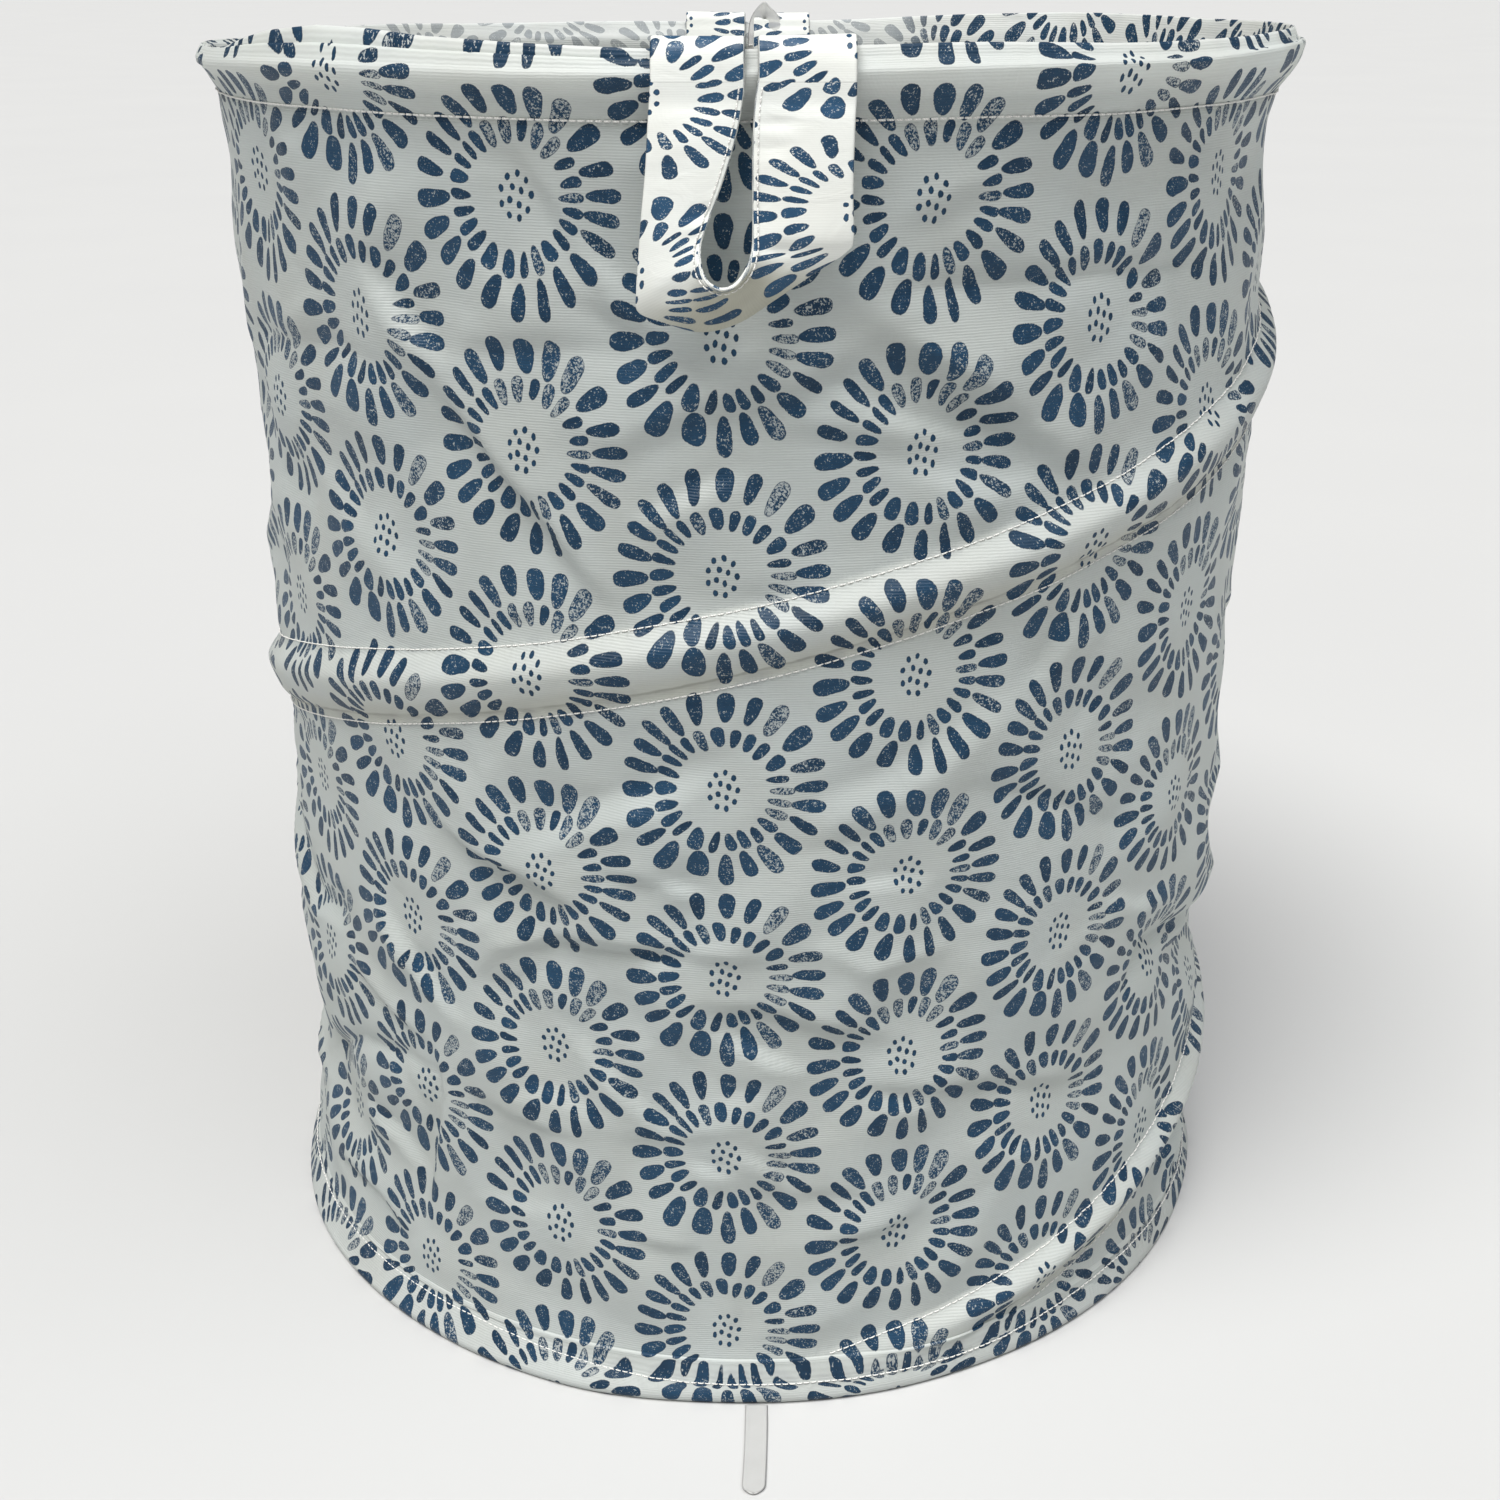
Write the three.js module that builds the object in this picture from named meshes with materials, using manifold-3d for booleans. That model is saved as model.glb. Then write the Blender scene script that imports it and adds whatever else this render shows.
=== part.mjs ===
// Pop up laundry hamper: a round fabric tube on spring wire, open at the top.
// Millimetres, +Z up. The origin is on the hamper's axis, at the underside of its base.
// The front, with the tie ribbon, faces -Y.
import * as THREE from 'three';
import { mergeVertices } from 'three/addons/utils/BufferGeometryUtils.js';
import Module from 'manifold-3d';

// ---- driving dimensions ----
const HEIGHT = 533; // floor to the top of the rim
const R_CLOTH = 227; // middle of the wall's thickness
const SEGMENTS = 60; // facets round the hamper, shared by every round piece so that they nest
const CLOTH = 1.0; // thickness of a cloth solid
const GAP = 0.3; // between pieces that touch

const HEM = 18; // height of the top and bottom hems
const HEM_TUCK = 8; // how far in from the hem's fold the wall's edge lies
const FOLD_R_IN = 1.9; // inside radius of the hem's fold, round the wire
const FOLD_R_OUT = 2.7; // outside radius of the hem's fold
const LEG_IN = 0.8; // half of the gap between the hem's two legs, over the wall
const LEG_OUT = 1.8; // half of the hem's thickness over the wall

const WIRE_R = 0.85; // spring steel wire, 1.7 mm
const SLEEVE_R_IN = 1.15;
const SLEEVE_R_OUT = 1.5;
const SLEEVE_SPAN = 0.8; // of one facet, about 19 mm
const SLEEVE_AT = 19; // facet that holds the sleeve, counted from +X

const SPIRAL_MID_Z = 334; // wire height where the spiral crosses the front
const SPIRAL_PITCH = 335; // rise for each full turn, to the right across the front
const SPIRAL_FRONT = 45; // step at the front, at 270 degrees
const SPIRAL_START = -10.8; // steps of 6 degrees, first end of the channel
const SPIRAL_END = 76.6;
const CHANNEL_BELOW = 9; // channel tape below the wire
const CHANNEL_ABOVE = 24; // channel tape above the wire
const TAPE = 0.8;

const STRAP_T = 2.0; // folded strap
const STRAP_Y = 231.4; // distance of the strap's middle from the axis, and of the handle's pivot
const PIVOT_Z = HEIGHT - 1; // height of the handle's pivot
const END_DEPTH = 17; // how far the strap's sewn end reaches down inside the rim

const RIBBON_W = 9.5;
const RIBBON_T = 1.0;
const RIBBON_LENGTH = 50;

// ---- materials ----
const printed = new THREE.MeshStandardMaterial({ color: 0xd9dadc, roughness: 0.55, metalness: 0 });
const strapCloth = new THREE.MeshStandardMaterial({ color: 0xf3f2ec, roughness: 0.5, metalness: 0 });
const lining = new THREE.MeshStandardMaterial({ color: 0xe4e2da, roughness: 0.6, metalness: 0 });
const ribbonCloth = new THREE.MeshStandardMaterial({ color: 0xf6f6f4, roughness: 0.4, metalness: 0 });
const steel = new THREE.MeshStandardMaterial({ color: 0xb8bcc0, roughness: 0.3, metalness: 1 });
const crimp = new THREE.MeshStandardMaterial({ color: 0xa9adb2, roughness: 0.35, metalness: 1 });
const vinyl = new THREE.MeshStandardMaterial({ color: 0xeeeeea, roughness: 0.45, metalness: 0 });

const hamper = new THREE.Group();

// ---- helpers ----
const wasm = await Module();
wasm.setup();

// Joins shared vertices and turns the faces outward.
function closed(geometry) {
  const g = geometry.clone();
  for (const name of Object.keys(g.attributes)) if (name !== 'position') g.deleteAttribute(name);
  const merged = mergeVertices(g, 1e-3);
  const p = merged.attributes.position;
  const index = Array.from(merged.index.array);
  const kept = [];
  let volume = 0;
  const a = new THREE.Vector3(), b = new THREE.Vector3(), c = new THREE.Vector3();
  for (let i = 0; i < index.length; i += 3) {
    const [i0, i1, i2] = [index[i], index[i + 1], index[i + 2]];
    if (i0 === i1 || i1 === i2 || i0 === i2) continue;
    kept.push(i0, i1, i2);
    a.fromBufferAttribute(p, i0);
    b.fromBufferAttribute(p, i1);
    c.fromBufferAttribute(p, i2);
    volume += a.dot(b.cross(c)) / 6;
  }
  if (volume < 0) for (let i = 0; i < kept.length; i += 3) [kept[i + 1], kept[i + 2]] = [kept[i + 2], kept[i + 1]];
  merged.setIndex(kept);
  merged.computeVertexNormals();
  return merged;
}

function add(name, geometry, material) {
  const mesh = new THREE.Mesh(closed(geometry), material);
  mesh.name = name;
  hamper.add(mesh);
  return mesh;
}

function toManifold(geometry) {
  const g = closed(geometry);
  return new wasm.Manifold(
    new wasm.Mesh({
      numProp: 3,
      vertProperties: new Float32Array(g.attributes.position.array),
      triVerts: new Uint32Array(g.index.array),
    }),
  );
}

function fromManifold(solid) {
  const m = solid.getMesh();
  const g = new THREE.BufferGeometry();
  g.setAttribute('position', new THREE.BufferAttribute(new Float32Array(m.vertProperties), 3));
  g.setIndex(new THREE.BufferAttribute(new Uint32Array(m.triVerts), 1));
  return g;
}

// A ring turned from a closed profile of [radius, height] points.
function turned(profile) {
  const points = profile.map(([r, z]) => new THREE.Vector2(r, z));
  points.push(points[0].clone());
  const g = new THREE.LatheGeometry(points, SEGMENTS);
  g.rotateX(Math.PI / 2);
  return g;
}

function arc(cx, cz, r, from, to, n) {
  const out = [];
  for (let i = 0; i <= n; i++) {
    const t = THREE.MathUtils.degToRad(from + ((to - from) * i) / n);
    out.push([cx + r * Math.cos(t), cz + r * Math.sin(t)]);
  }
  return out;
}

function circle(r, sides, hole) {
  const shape = new THREE.Shape();
  const ring = (path, radius) => {
    for (let i = 0; i <= sides; i++) {
      const t = (2 * Math.PI * i) / sides;
      const [x, y] = [radius * Math.cos(t), radius * Math.sin(t)];
      if (i) path.lineTo(x, y);
      else path.moveTo(x, y);
    }
  };
  ring(shape, r);
  if (hole) {
    const inner = new THREE.Path();
    ring(inner, hole);
    shape.holes.push(inner);
  }
  return shape;
}

// Sweeps a section through stations. A station is a step round the hamper, and between two whole
// steps the piece runs straight, like the facets of the wall beside it.
function swept(shape, stations, place) {
  const n = stations.length - 1;
  const g = new THREE.ExtrudeGeometry(shape, { depth: n, steps: n, bevelEnabled: false });
  const p = g.attributes.position;
  const from = new THREE.Vector3(), to = new THREE.Vector3();
  for (let i = 0; i < p.count; i++) {
    const s = stations[Math.round(p.getZ(i))];
    const whole = Math.floor(s);
    place(from, whole, p.getX(i), p.getY(i), s);
    place(to, whole + 1, p.getX(i), p.getY(i), s);
    from.lerp(to, s - whole);
    p.setXYZ(i, from.x, from.y, from.z);
  }
  return g;
}

function stations(a, b) {
  const out = [a];
  for (let s = Math.floor(a) + 1; s < b - 1e-6; s++) out.push(s);
  out.push(b);
  return out;
}

const STEP = (2 * Math.PI) / SEGMENTS;
const onRing = (radius, z) => (v, step, u, w) =>
  v.set((radius + w) * Math.cos(step * STEP), (radius + w) * Math.sin(step * STEP), z + u);

// ---- hems: a strip folded in half round the ring wire, over the wall's edge ----
function hem(sign, fold) {
  const at = (r, z) => [R_CLOTH + r, fold - sign * z];
  const round = (r, steps) => arc(0, 0, r, 0, 180, steps).map(([x, y]) => [R_CLOTH + x, fold - sign * (FOLD_R_OUT - y)]);
  return [
    at(LEG_OUT, HEM),
    at(LEG_OUT, HEM_TUCK),
    ...round(FOLD_R_OUT, 4),
    at(-LEG_OUT, HEM_TUCK),
    at(-LEG_OUT, HEM),
    at(-LEG_IN, HEM),
    at(-LEG_IN, HEM_TUCK - 1),
    ...round(FOLD_R_IN, 4).reverse(),
    at(LEG_IN, HEM_TUCK - 1),
    at(LEG_IN, HEM),
  ];
}
add('top_hem', turned(hem(1, HEIGHT)), printed);
add('bottom_hem', turned(hem(-1, 0)), printed);

// ---- wall: the printed panel, its edges tucked into the hems ----
add(
  'wall',
  turned([
    [R_CLOTH - CLOTH / 2, HEM_TUCK],
    [R_CLOTH + CLOTH / 2, HEM_TUCK],
    [R_CLOTH + CLOTH / 2, HEIGHT - HEM_TUCK],
    [R_CLOTH - CLOTH / 2, HEIGHT - HEM_TUCK],
  ]),
  printed,
);

// ---- base: a flat round of cloth inside the bottom hem ----
const base = new THREE.CylinderGeometry(R_CLOTH - FOLD_R_OUT - GAP, R_CLOTH - FOLD_R_OUT - GAP, CLOTH, SEGMENTS);
base.rotateX(Math.PI / 2);
base.translate(0, 0, CLOTH / 2);
add('base', base, lining);

// ---- ring wires: open rings whose ends meet in a crimped sleeve ----
for (const [name, z] of [['top', HEIGHT - FOLD_R_OUT], ['bottom', FOLD_R_OUT]]) {
  const middle = SLEEVE_AT + 0.5;
  add(
    `${name}_ring_wire`,
    swept(circle(WIRE_R, 8), stations(middle + 0.02, middle + SEGMENTS - 0.02), onRing(R_CLOTH, z)),
    steel,
  );
  add(
    `${name}_ring_sleeve`,
    swept(circle(SLEEVE_R_OUT, 8, SLEEVE_R_IN), [middle - SLEEVE_SPAN / 2, middle + SLEEVE_SPAN / 2], onRing(R_CLOTH, z)),
    crimp,
  );
}

// ---- spiral: wire and channel tape on the wall's inside ----
const R_INSIDE = R_CLOTH - CLOTH / 2;
const wireHeight = (s) => SPIRAL_MID_Z + (SPIRAL_PITCH * (s - SPIRAL_FRONT)) / SEGMENTS;
const WIRE_IN = 1.9; // wire centre, inward from the wall
// u is the height over the wire, w the distance inward from the wall
const onSpiral = (v, step, u, w) => {
  const r = R_INSIDE - w;
  return v.set(r * Math.cos(step * STEP), r * Math.sin(step * STEP), wireHeight(step) + u);
};
// Near the hems the tape's edges are trimmed along the hem.
const channelPlace = (v, step, u, w, s) => {
  const low = Math.max(-CHANNEL_BELOW, HEM + 0.4 - wireHeight(s));
  const high = Math.min(CHANNEL_ABOVE, HEIGHT - HEM - 0.4 - wireHeight(s));
  let height = u;
  if (u < -3.4 - 1e-6) height = THREE.MathUtils.mapLinear(u, -CHANNEL_BELOW, -3.4, low, -3.4);
  if (u > 3.4 + 1e-6) height = THREE.MathUtils.mapLinear(u, 3.4, CHANNEL_ABOVE, 3.4, high);
  return onSpiral(v, step, height, w);
};
const tunnel = new THREE.Shape(
  [
    [-CHANNEL_BELOW, GAP],
    [-3.4, GAP],
    [-1.8, 3.8],
    [1.8, 3.8],
    [3.4, GAP],
    [CHANNEL_ABOVE, GAP],
    [CHANNEL_ABOVE, GAP + TAPE],
    [3.9, GAP + TAPE],
    [2.3, 3.8 + TAPE],
    [-2.3, 3.8 + TAPE],
    [-3.9, GAP + TAPE],
    [-CHANNEL_BELOW, GAP + TAPE],
  ].map(([u, w]) => new THREE.Vector2(u, w)),
);
add('spiral_channel', swept(tunnel, stations(SPIRAL_START, SPIRAL_END), channelPlace), printed);

const onWire = (v, step, u, w) => onSpiral(v, step, u, WIRE_IN + w);
const WIRE_START = SPIRAL_START + 0.3;
const WIRE_END = SPIRAL_END - 0.3;
add('spiral_wire', swept(circle(WIRE_R, 8), stations(WIRE_START, WIRE_END), onWire), steel);
for (const [name, end, way] of [['lower', WIRE_START, 1], ['upper', WIRE_END, -1]]) {
  const span = (a, b) => [end + way * a, end + way * b].sort((x, y) => x - y);
  const cap = toManifold(swept(circle(SLEEVE_R_OUT, 8), span(-0.08, 0.3), onWire));
  const hole = toManifold(swept(circle(SLEEVE_R_IN, 8), span(-0.02, 0.4), onWire));
  add(`spiral_tip_${name}`, fromManifold(cap.subtract(hole)), vinyl);
}

// ---- handles: a strap loop that hangs from the rim, and its two sewn ends ----
// Outline across the front, x to the right and z down from the pivot.
const loopOutline = [
  [-31.7, 0], [-33.3, -17], [-35.7, -47], [-36, -71], [-33, -77], [-28.6, -80], [-16, -84], [-1.6, -82],
  [4.8, -78], [12.7, -71], [25.4, -62], [32, -53], [33.3, -17], [34, 0], [2.5, 0], [2.2, -8],
  [1, -28], [1, -49], [-0.6, -59], [-4.8, -68], [-9, -69], [-14, -64], [-15, -51], [-12, -43], [-7, -28], [-2.5, -8], [-1.6, 0],
];
const legSpans = { left: [-31.7, -1.6], right: [2.5, 34] };

function handle(name, turn) {
  const loop = new THREE.ExtrudeGeometry(new THREE.Shape(loopOutline.map(([x, z]) => new THREE.Vector2(x, z))), {
    depth: STRAP_T,
    bevelEnabled: false,
  });
  loop.rotateX(Math.PI / 2); // the outline stands up, its depth along -Y
  loop.translate(0, -STRAP_Y + STRAP_T / 2, PIVOT_Z);
  loop.rotateZ(turn);
  add(name, loop, strapCloth);

  // The sewn end comes up inside the rim and over its fold, to the pivot.
  const inner = R_CLOTH - FOLD_R_OUT - 3.2; // clear of the rim's curve across the strap
  const outer = STRAP_Y - STRAP_T / 2 - 0.4;
  const section = [
    [-inner, HEIGHT - END_DEPTH],
    [-inner, HEIGHT + 0.4],
    [-outer, HEIGHT + 0.4],
    [-outer, HEIGHT + 1.4],
    [-inner + 1, HEIGHT + 1.4],
    [-inner + 1, HEIGHT - END_DEPTH],
  ];
  for (const [side, [x0, x1]] of Object.entries(legSpans)) {
    const end = new THREE.ExtrudeGeometry(new THREE.Shape(section.map(([y, z]) => new THREE.Vector2(y, z))), {
      depth: x1 - x0,
      bevelEnabled: false,
    });
    // section x -> Y, section y -> Z, depth -> X
    end.applyMatrix4(new THREE.Matrix4().set(0, 0, 1, x0, 1, 0, 0, 0, 0, 1, 0, 0, 0, 0, 0, 1));
    end.rotateZ(turn);
    add(`${name}_end_${side}`, end, strapCloth);
  }
}
handle('front_handle', 0);
handle('back_handle', Math.PI);

// ---- hanging loop: a short ribbon loop that stands up inside the far rim ----
const loopShape = new THREE.Shape();
loopShape.moveTo(-1, -14);
loopShape.lineTo(-1, 2);
loopShape.quadraticCurveTo(0, 9, 8, 9);
loopShape.quadraticCurveTo(16, 9, 17, 2);
loopShape.lineTo(17, -14);
loopShape.lineTo(8.5, -14);
loopShape.lineTo(8.5, -2);
loopShape.lineTo(7.5, -2);
loopShape.lineTo(7.5, -14);
loopShape.closePath();
const hangingLoop = new THREE.ExtrudeGeometry(loopShape, { depth: RIBBON_T, bevelEnabled: false, curveSegments: 4 });
hangingLoop.rotateX(Math.PI / 2);
hangingLoop.translate(0, R_CLOTH - FOLD_R_OUT - 4.9, HEIGHT);
add('hanging_loop', hangingLoop, ribbonCloth);

// ---- tie ribbon: lies on the floor in front, rounded at its tip ----
const ribbonShape = new THREE.Shape();
const ribbonX = -2;
ribbonShape.moveTo(ribbonX, 0);
ribbonShape.lineTo(ribbonX, -RIBBON_LENGTH + RIBBON_W / 2);
ribbonShape.absarc(ribbonX + RIBBON_W / 2, -RIBBON_LENGTH + RIBBON_W / 2, RIBBON_W / 2, Math.PI, 2 * Math.PI, false);
ribbonShape.lineTo(ribbonX + RIBBON_W, 0);
ribbonShape.closePath();
const tieRibbon = new THREE.ExtrudeGeometry(ribbonShape, { depth: RIBBON_T, bevelEnabled: false, curveSegments: 8 });
tieRibbon.translate(0, -(R_CLOTH + FOLD_R_OUT + 1), 0);
add('tie_ribbon', tieRibbon, ribbonCloth);

export default hamper;
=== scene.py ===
import math

import bpy
import numpy as np
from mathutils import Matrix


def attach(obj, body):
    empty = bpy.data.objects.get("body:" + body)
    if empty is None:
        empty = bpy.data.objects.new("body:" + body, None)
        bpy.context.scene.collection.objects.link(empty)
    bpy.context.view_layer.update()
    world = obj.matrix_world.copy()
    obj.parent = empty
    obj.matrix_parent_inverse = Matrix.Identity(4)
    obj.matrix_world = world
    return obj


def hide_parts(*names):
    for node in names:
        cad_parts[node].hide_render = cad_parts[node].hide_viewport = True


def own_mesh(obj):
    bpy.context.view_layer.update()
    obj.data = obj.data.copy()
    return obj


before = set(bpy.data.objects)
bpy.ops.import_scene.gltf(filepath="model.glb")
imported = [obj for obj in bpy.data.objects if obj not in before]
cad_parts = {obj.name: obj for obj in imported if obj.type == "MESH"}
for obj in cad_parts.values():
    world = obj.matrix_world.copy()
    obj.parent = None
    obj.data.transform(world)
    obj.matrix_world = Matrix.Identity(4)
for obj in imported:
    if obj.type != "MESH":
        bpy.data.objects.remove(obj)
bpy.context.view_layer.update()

scene = bpy.context.scene
scene.view_settings.view_transform = "Standard"

# ------------------------------------------------------------------ camera
F_PX, TILT = 1902.0, math.radians(22.65)  # focal length in pixels of the 1500 pixel frame
EYE = np.array([0.0, -868.4, 568.4])  # millimetres
cam_data = bpy.data.cameras.new("camera")
cam_data.sensor_width = 36.0
cam_data.lens = 36.0 * F_PX / 1500.0
cam_data.clip_start, cam_data.clip_end = 0.02, 200.0
camera = bpy.data.objects.new("camera", cam_data)
camera.location = EYE / 1000
camera.rotation_euler = (math.pi / 2 - TILT, 0, 0)
scene.collection.objects.link(camera)
scene.camera = camera

LOOK = np.array([0, math.cos(TILT), -math.sin(TILT)])
UP = np.array([0, math.sin(TILT), math.cos(TILT)])


def sight(px, py):
    return LOOK + np.array([1.0, 0, 0]) * (px - 750) / F_PX - UP * (py - 750) / F_PX


def at_y(px, py, y):
    """The point seen at a pixel on the plane at y, in millimetres."""
    d = sight(px, py)
    return EYE + d * (y - EYE[1]) / d[1]


def at_wall(px, py, r=221.5):
    """The angle and height seen at a pixel on a cylinder, in degrees and millimetres."""
    d = sight(px, py)
    a, b, c = d[0] ** 2 + d[1] ** 2, d[0] * EYE[0] + d[1] * EYE[1], EYE[0] ** 2 + EYE[1] ** 2 - r * r
    q = b * b - a * c
    t = (-b - math.sqrt(max(q, 0.0))) / a
    p = EYE + d * t
    return math.degrees(math.atan2(p[1], p[0])) % 360, p[2]


# ------------------------------------------------------------------ sizes, in millimetres
R_UV = 223.0  # radius that the print is measured on
COL_DEG, ROW = 18.55, 83.0  # the print's columns and rows
COL = math.radians(COL_DEG) * R_UV
COL_AT = 267.45
SEAM = 90.0  # the wall's seam is at the back
HEM_STITCH, HEM_EDGE = 519.0, 517.2
LOW_STITCH, LOW_EDGE = 9.0, 19.3
WALL_LOW, WALL_HIGH = 8.0, 518.2
COIL_FROM, COIL_TO = -64.8, 459.6  # degrees along the spiral
FOLD_GAIN, CRUMPLE_GAIN = 2.45, 2.6


def coil_z(deg):
    return 334.0 + 335.0 * (deg - 270.0) / 360.0


def smooth(x, a, b):
    t = np.clip((np.asarray(x, float) - a) / (b - a), 0, 1)
    return t * t * (3 - 2 * t)


def ring_noise(deg, seed, n=9, low=2):
    """A smooth seeded wave round the hamper, from about -1 to 1."""
    r = np.random.RandomState(seed)
    t, out = np.radians(deg), 0.0
    for k in range(low, low + n):
        out = out + r.uniform(-1, 1) / math.sqrt(k) * np.cos(k * t + r.uniform(0, 6.3))
    return out / 1.2


# the side profiles of the cloth between the wires, height to radius
LEFT = ([8, 14.5, 22, 34, 51, 66, 84, 102, 119, 151, 167, 229, 243, 260, 302, 357, 376, 396, 409, 435, 500, 512, 519],
        [227.4, 225.4, 222.6, 222.4, 219.8, 214.6, 215.0, 218, 220, 219.7, 218, 217.6, 216.6, 217.6, 219.6, 216.6, 214.6, 216.6, 219.6, 220.8, 220.8, 221.2, 222.6])
RIGHT = ([8, 14.5, 22, 36, 60, 100, 120, 135, 151, 167, 199, 215, 245, 288, 309, 330, 371, 400, 447, 465, 483, 495, 507, 519],
         [227.4, 225.4, 222.9, 222.4, 223.0, 222.6, 220, 217.6, 218.2, 221, 222, 223.6, 223.6, 222, 221, 221.6, 223.2, 223, 222, 221.2, 218.3, 217.4, 218, 220.6])
FRONT = ([8, 14.5, 22, 34, 60, 120, 200, 300, 360, 400, 450, 490, 512, 519],
         [227.4, 225.2, 222.2, 221.4, 220.8, 220.6, 221.2, 221.4, 221.2, 220.6, 220.4, 220.8, 221.4, 222.2])
_T = (np.array([-26, -14, -10, -8.2, -6.2, -4.9, -4.3, -3.4, -1, 3, 7, 9.5, 11.5, 13.5, 20.2, 21.2, 27.0]),
      np.array([0, 0.02, 0.06, 0.09, 0.10, 0.03, 0.10, 0.36, 0.56, 0.76, 0.92, 1.0, 0.97, 0.80, 0.05, 0.0, 0.0]))
_tx = np.linspace(-30, 30, 601)
_ty = np.interp(_tx, *_T)
_kern = np.exp(-0.5 * (np.arange(-12, 13) / 5.0) ** 2)
_ty = np.convolve(np.pad(_ty, 12, mode="edge"), _kern / _kern.sum(), mode="valid")
SEAM_UP, SEAM_DOWN = 20.5, -8.8  # the channel's two seams, above and below the wire


def seam_up(deg, zw):
    """The upper seam stands a little higher over the wire at the sides than at the front, and lowest at the spiral's foot."""
    c = np.cos(np.radians(deg))
    return SEAM_UP + 3.0 * smooth(-c, 0.3, 0.9) + 2.0 * smooth(c, 0.5, 0.95) - 1.6 * np.exp(-((np.asarray(deg) % 360 - 284) / 22.0) ** 2) - 6.0 * (1 - smooth(zw, 30, 85))


def side_profile(knots, z):
    x = np.arange(0.0, 541.0)
    y = np.interp(x, *knots)
    k = np.exp(-0.5 * (np.arange(-15, 16) / 5.0) ** 2)
    return np.interp(z, x, np.convolve(np.pad(y, 15, mode="edge"), k / k.sum(), mode="valid"))


class Fold:
    """One crease in the cloth. kind: v valley, r ridge, s a tilted strip. Points go from left to right; up and down are
    the widths on the upper and lower side of it."""

    def __init__(self, kind, pts, a, up, down=None, far=22.0, pixels=True, ends=(1, 1)):
        self.kind, self.a, self.up, self.down, self.far, self.ends = kind, a, up, up if down is None else down, far, ends
        if pixels:
            pts = [at_wall(*p) for p in pts]
        self.p = np.array([(math.radians(t) * R_UV, z) for t, z in pts])
        self.mid = self.p.mean(0)
        d = np.linalg.norm(np.diff(self.p, axis=0), axis=1)
        self.along = np.concatenate([[0], np.cumsum(d)])
        self.reach = (max(self.up, self.down) if kind != "s" else self.up + self.far) * 3.2

    def add(self, x, z, out):
        ring = 2 * math.pi * R_UV
        xx = (x - self.mid[0] + ring / 2) % ring - ring / 2 + self.mid[0]
        lo, hi = self.p.min(0) - self.reach, self.p.max(0) + self.reach
        near = (xx > lo[0]) & (xx < hi[0]) & (z > lo[1]) & (z < hi[1])
        if not near.any():
            return
        px, pz = xx[near], z[near]
        best, sign, pos = np.full(px.shape, 1e9), np.ones(px.shape), np.zeros(px.shape)
        for i in range(len(self.p) - 1):
            a, b = self.p[i], self.p[i + 1]
            v = b - a
            n = max(float(v @ v), 1e-9)
            t = np.clip(((px - a[0]) * v[0] + (pz - a[1]) * v[1]) / n, 0, 1)
            ex, ez = px - a[0] - t * v[0], pz - a[1] - t * v[1]
            d = np.hypot(ex, ez)
            closer = d < best
            best = np.where(closer, d, best)
            sign = np.where(closer, np.where(v[0] * (pz - a[1]) - v[1] * (px - a[0]) >= 0, 1.0, -1.0), sign)
            pos = np.where(closer, self.along[i] + t * math.sqrt(n), pos)
        t = pos / self.along[-1]
        amp = self.a * np.clip(np.where(self.ends[0], np.sin(np.pi * np.clip(t, 0, 0.5)), 1.0), 0, 1) ** 0.75
        amp = amp * np.clip(np.where(self.ends[1], np.sin(np.pi * np.clip(t, 0.5, 1)), 1.0), 0, 1) ** 0.75
        if self.kind == "s":
            w = self.up
            body = np.clip(sign * best / w, -1, 1)
            body = body * (1.5 - 0.5 * body * body)
            h = body * np.exp(-np.maximum(best - w, 0) / self.far)
        else:
            w = np.where(sign > 0, self.up, self.down)
            h = np.exp(-(np.sqrt(best ** 2 + 1.0) - 1.0) / w) * (-1 if self.kind == "v" else 1)
        out[near] += amp * h


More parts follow.
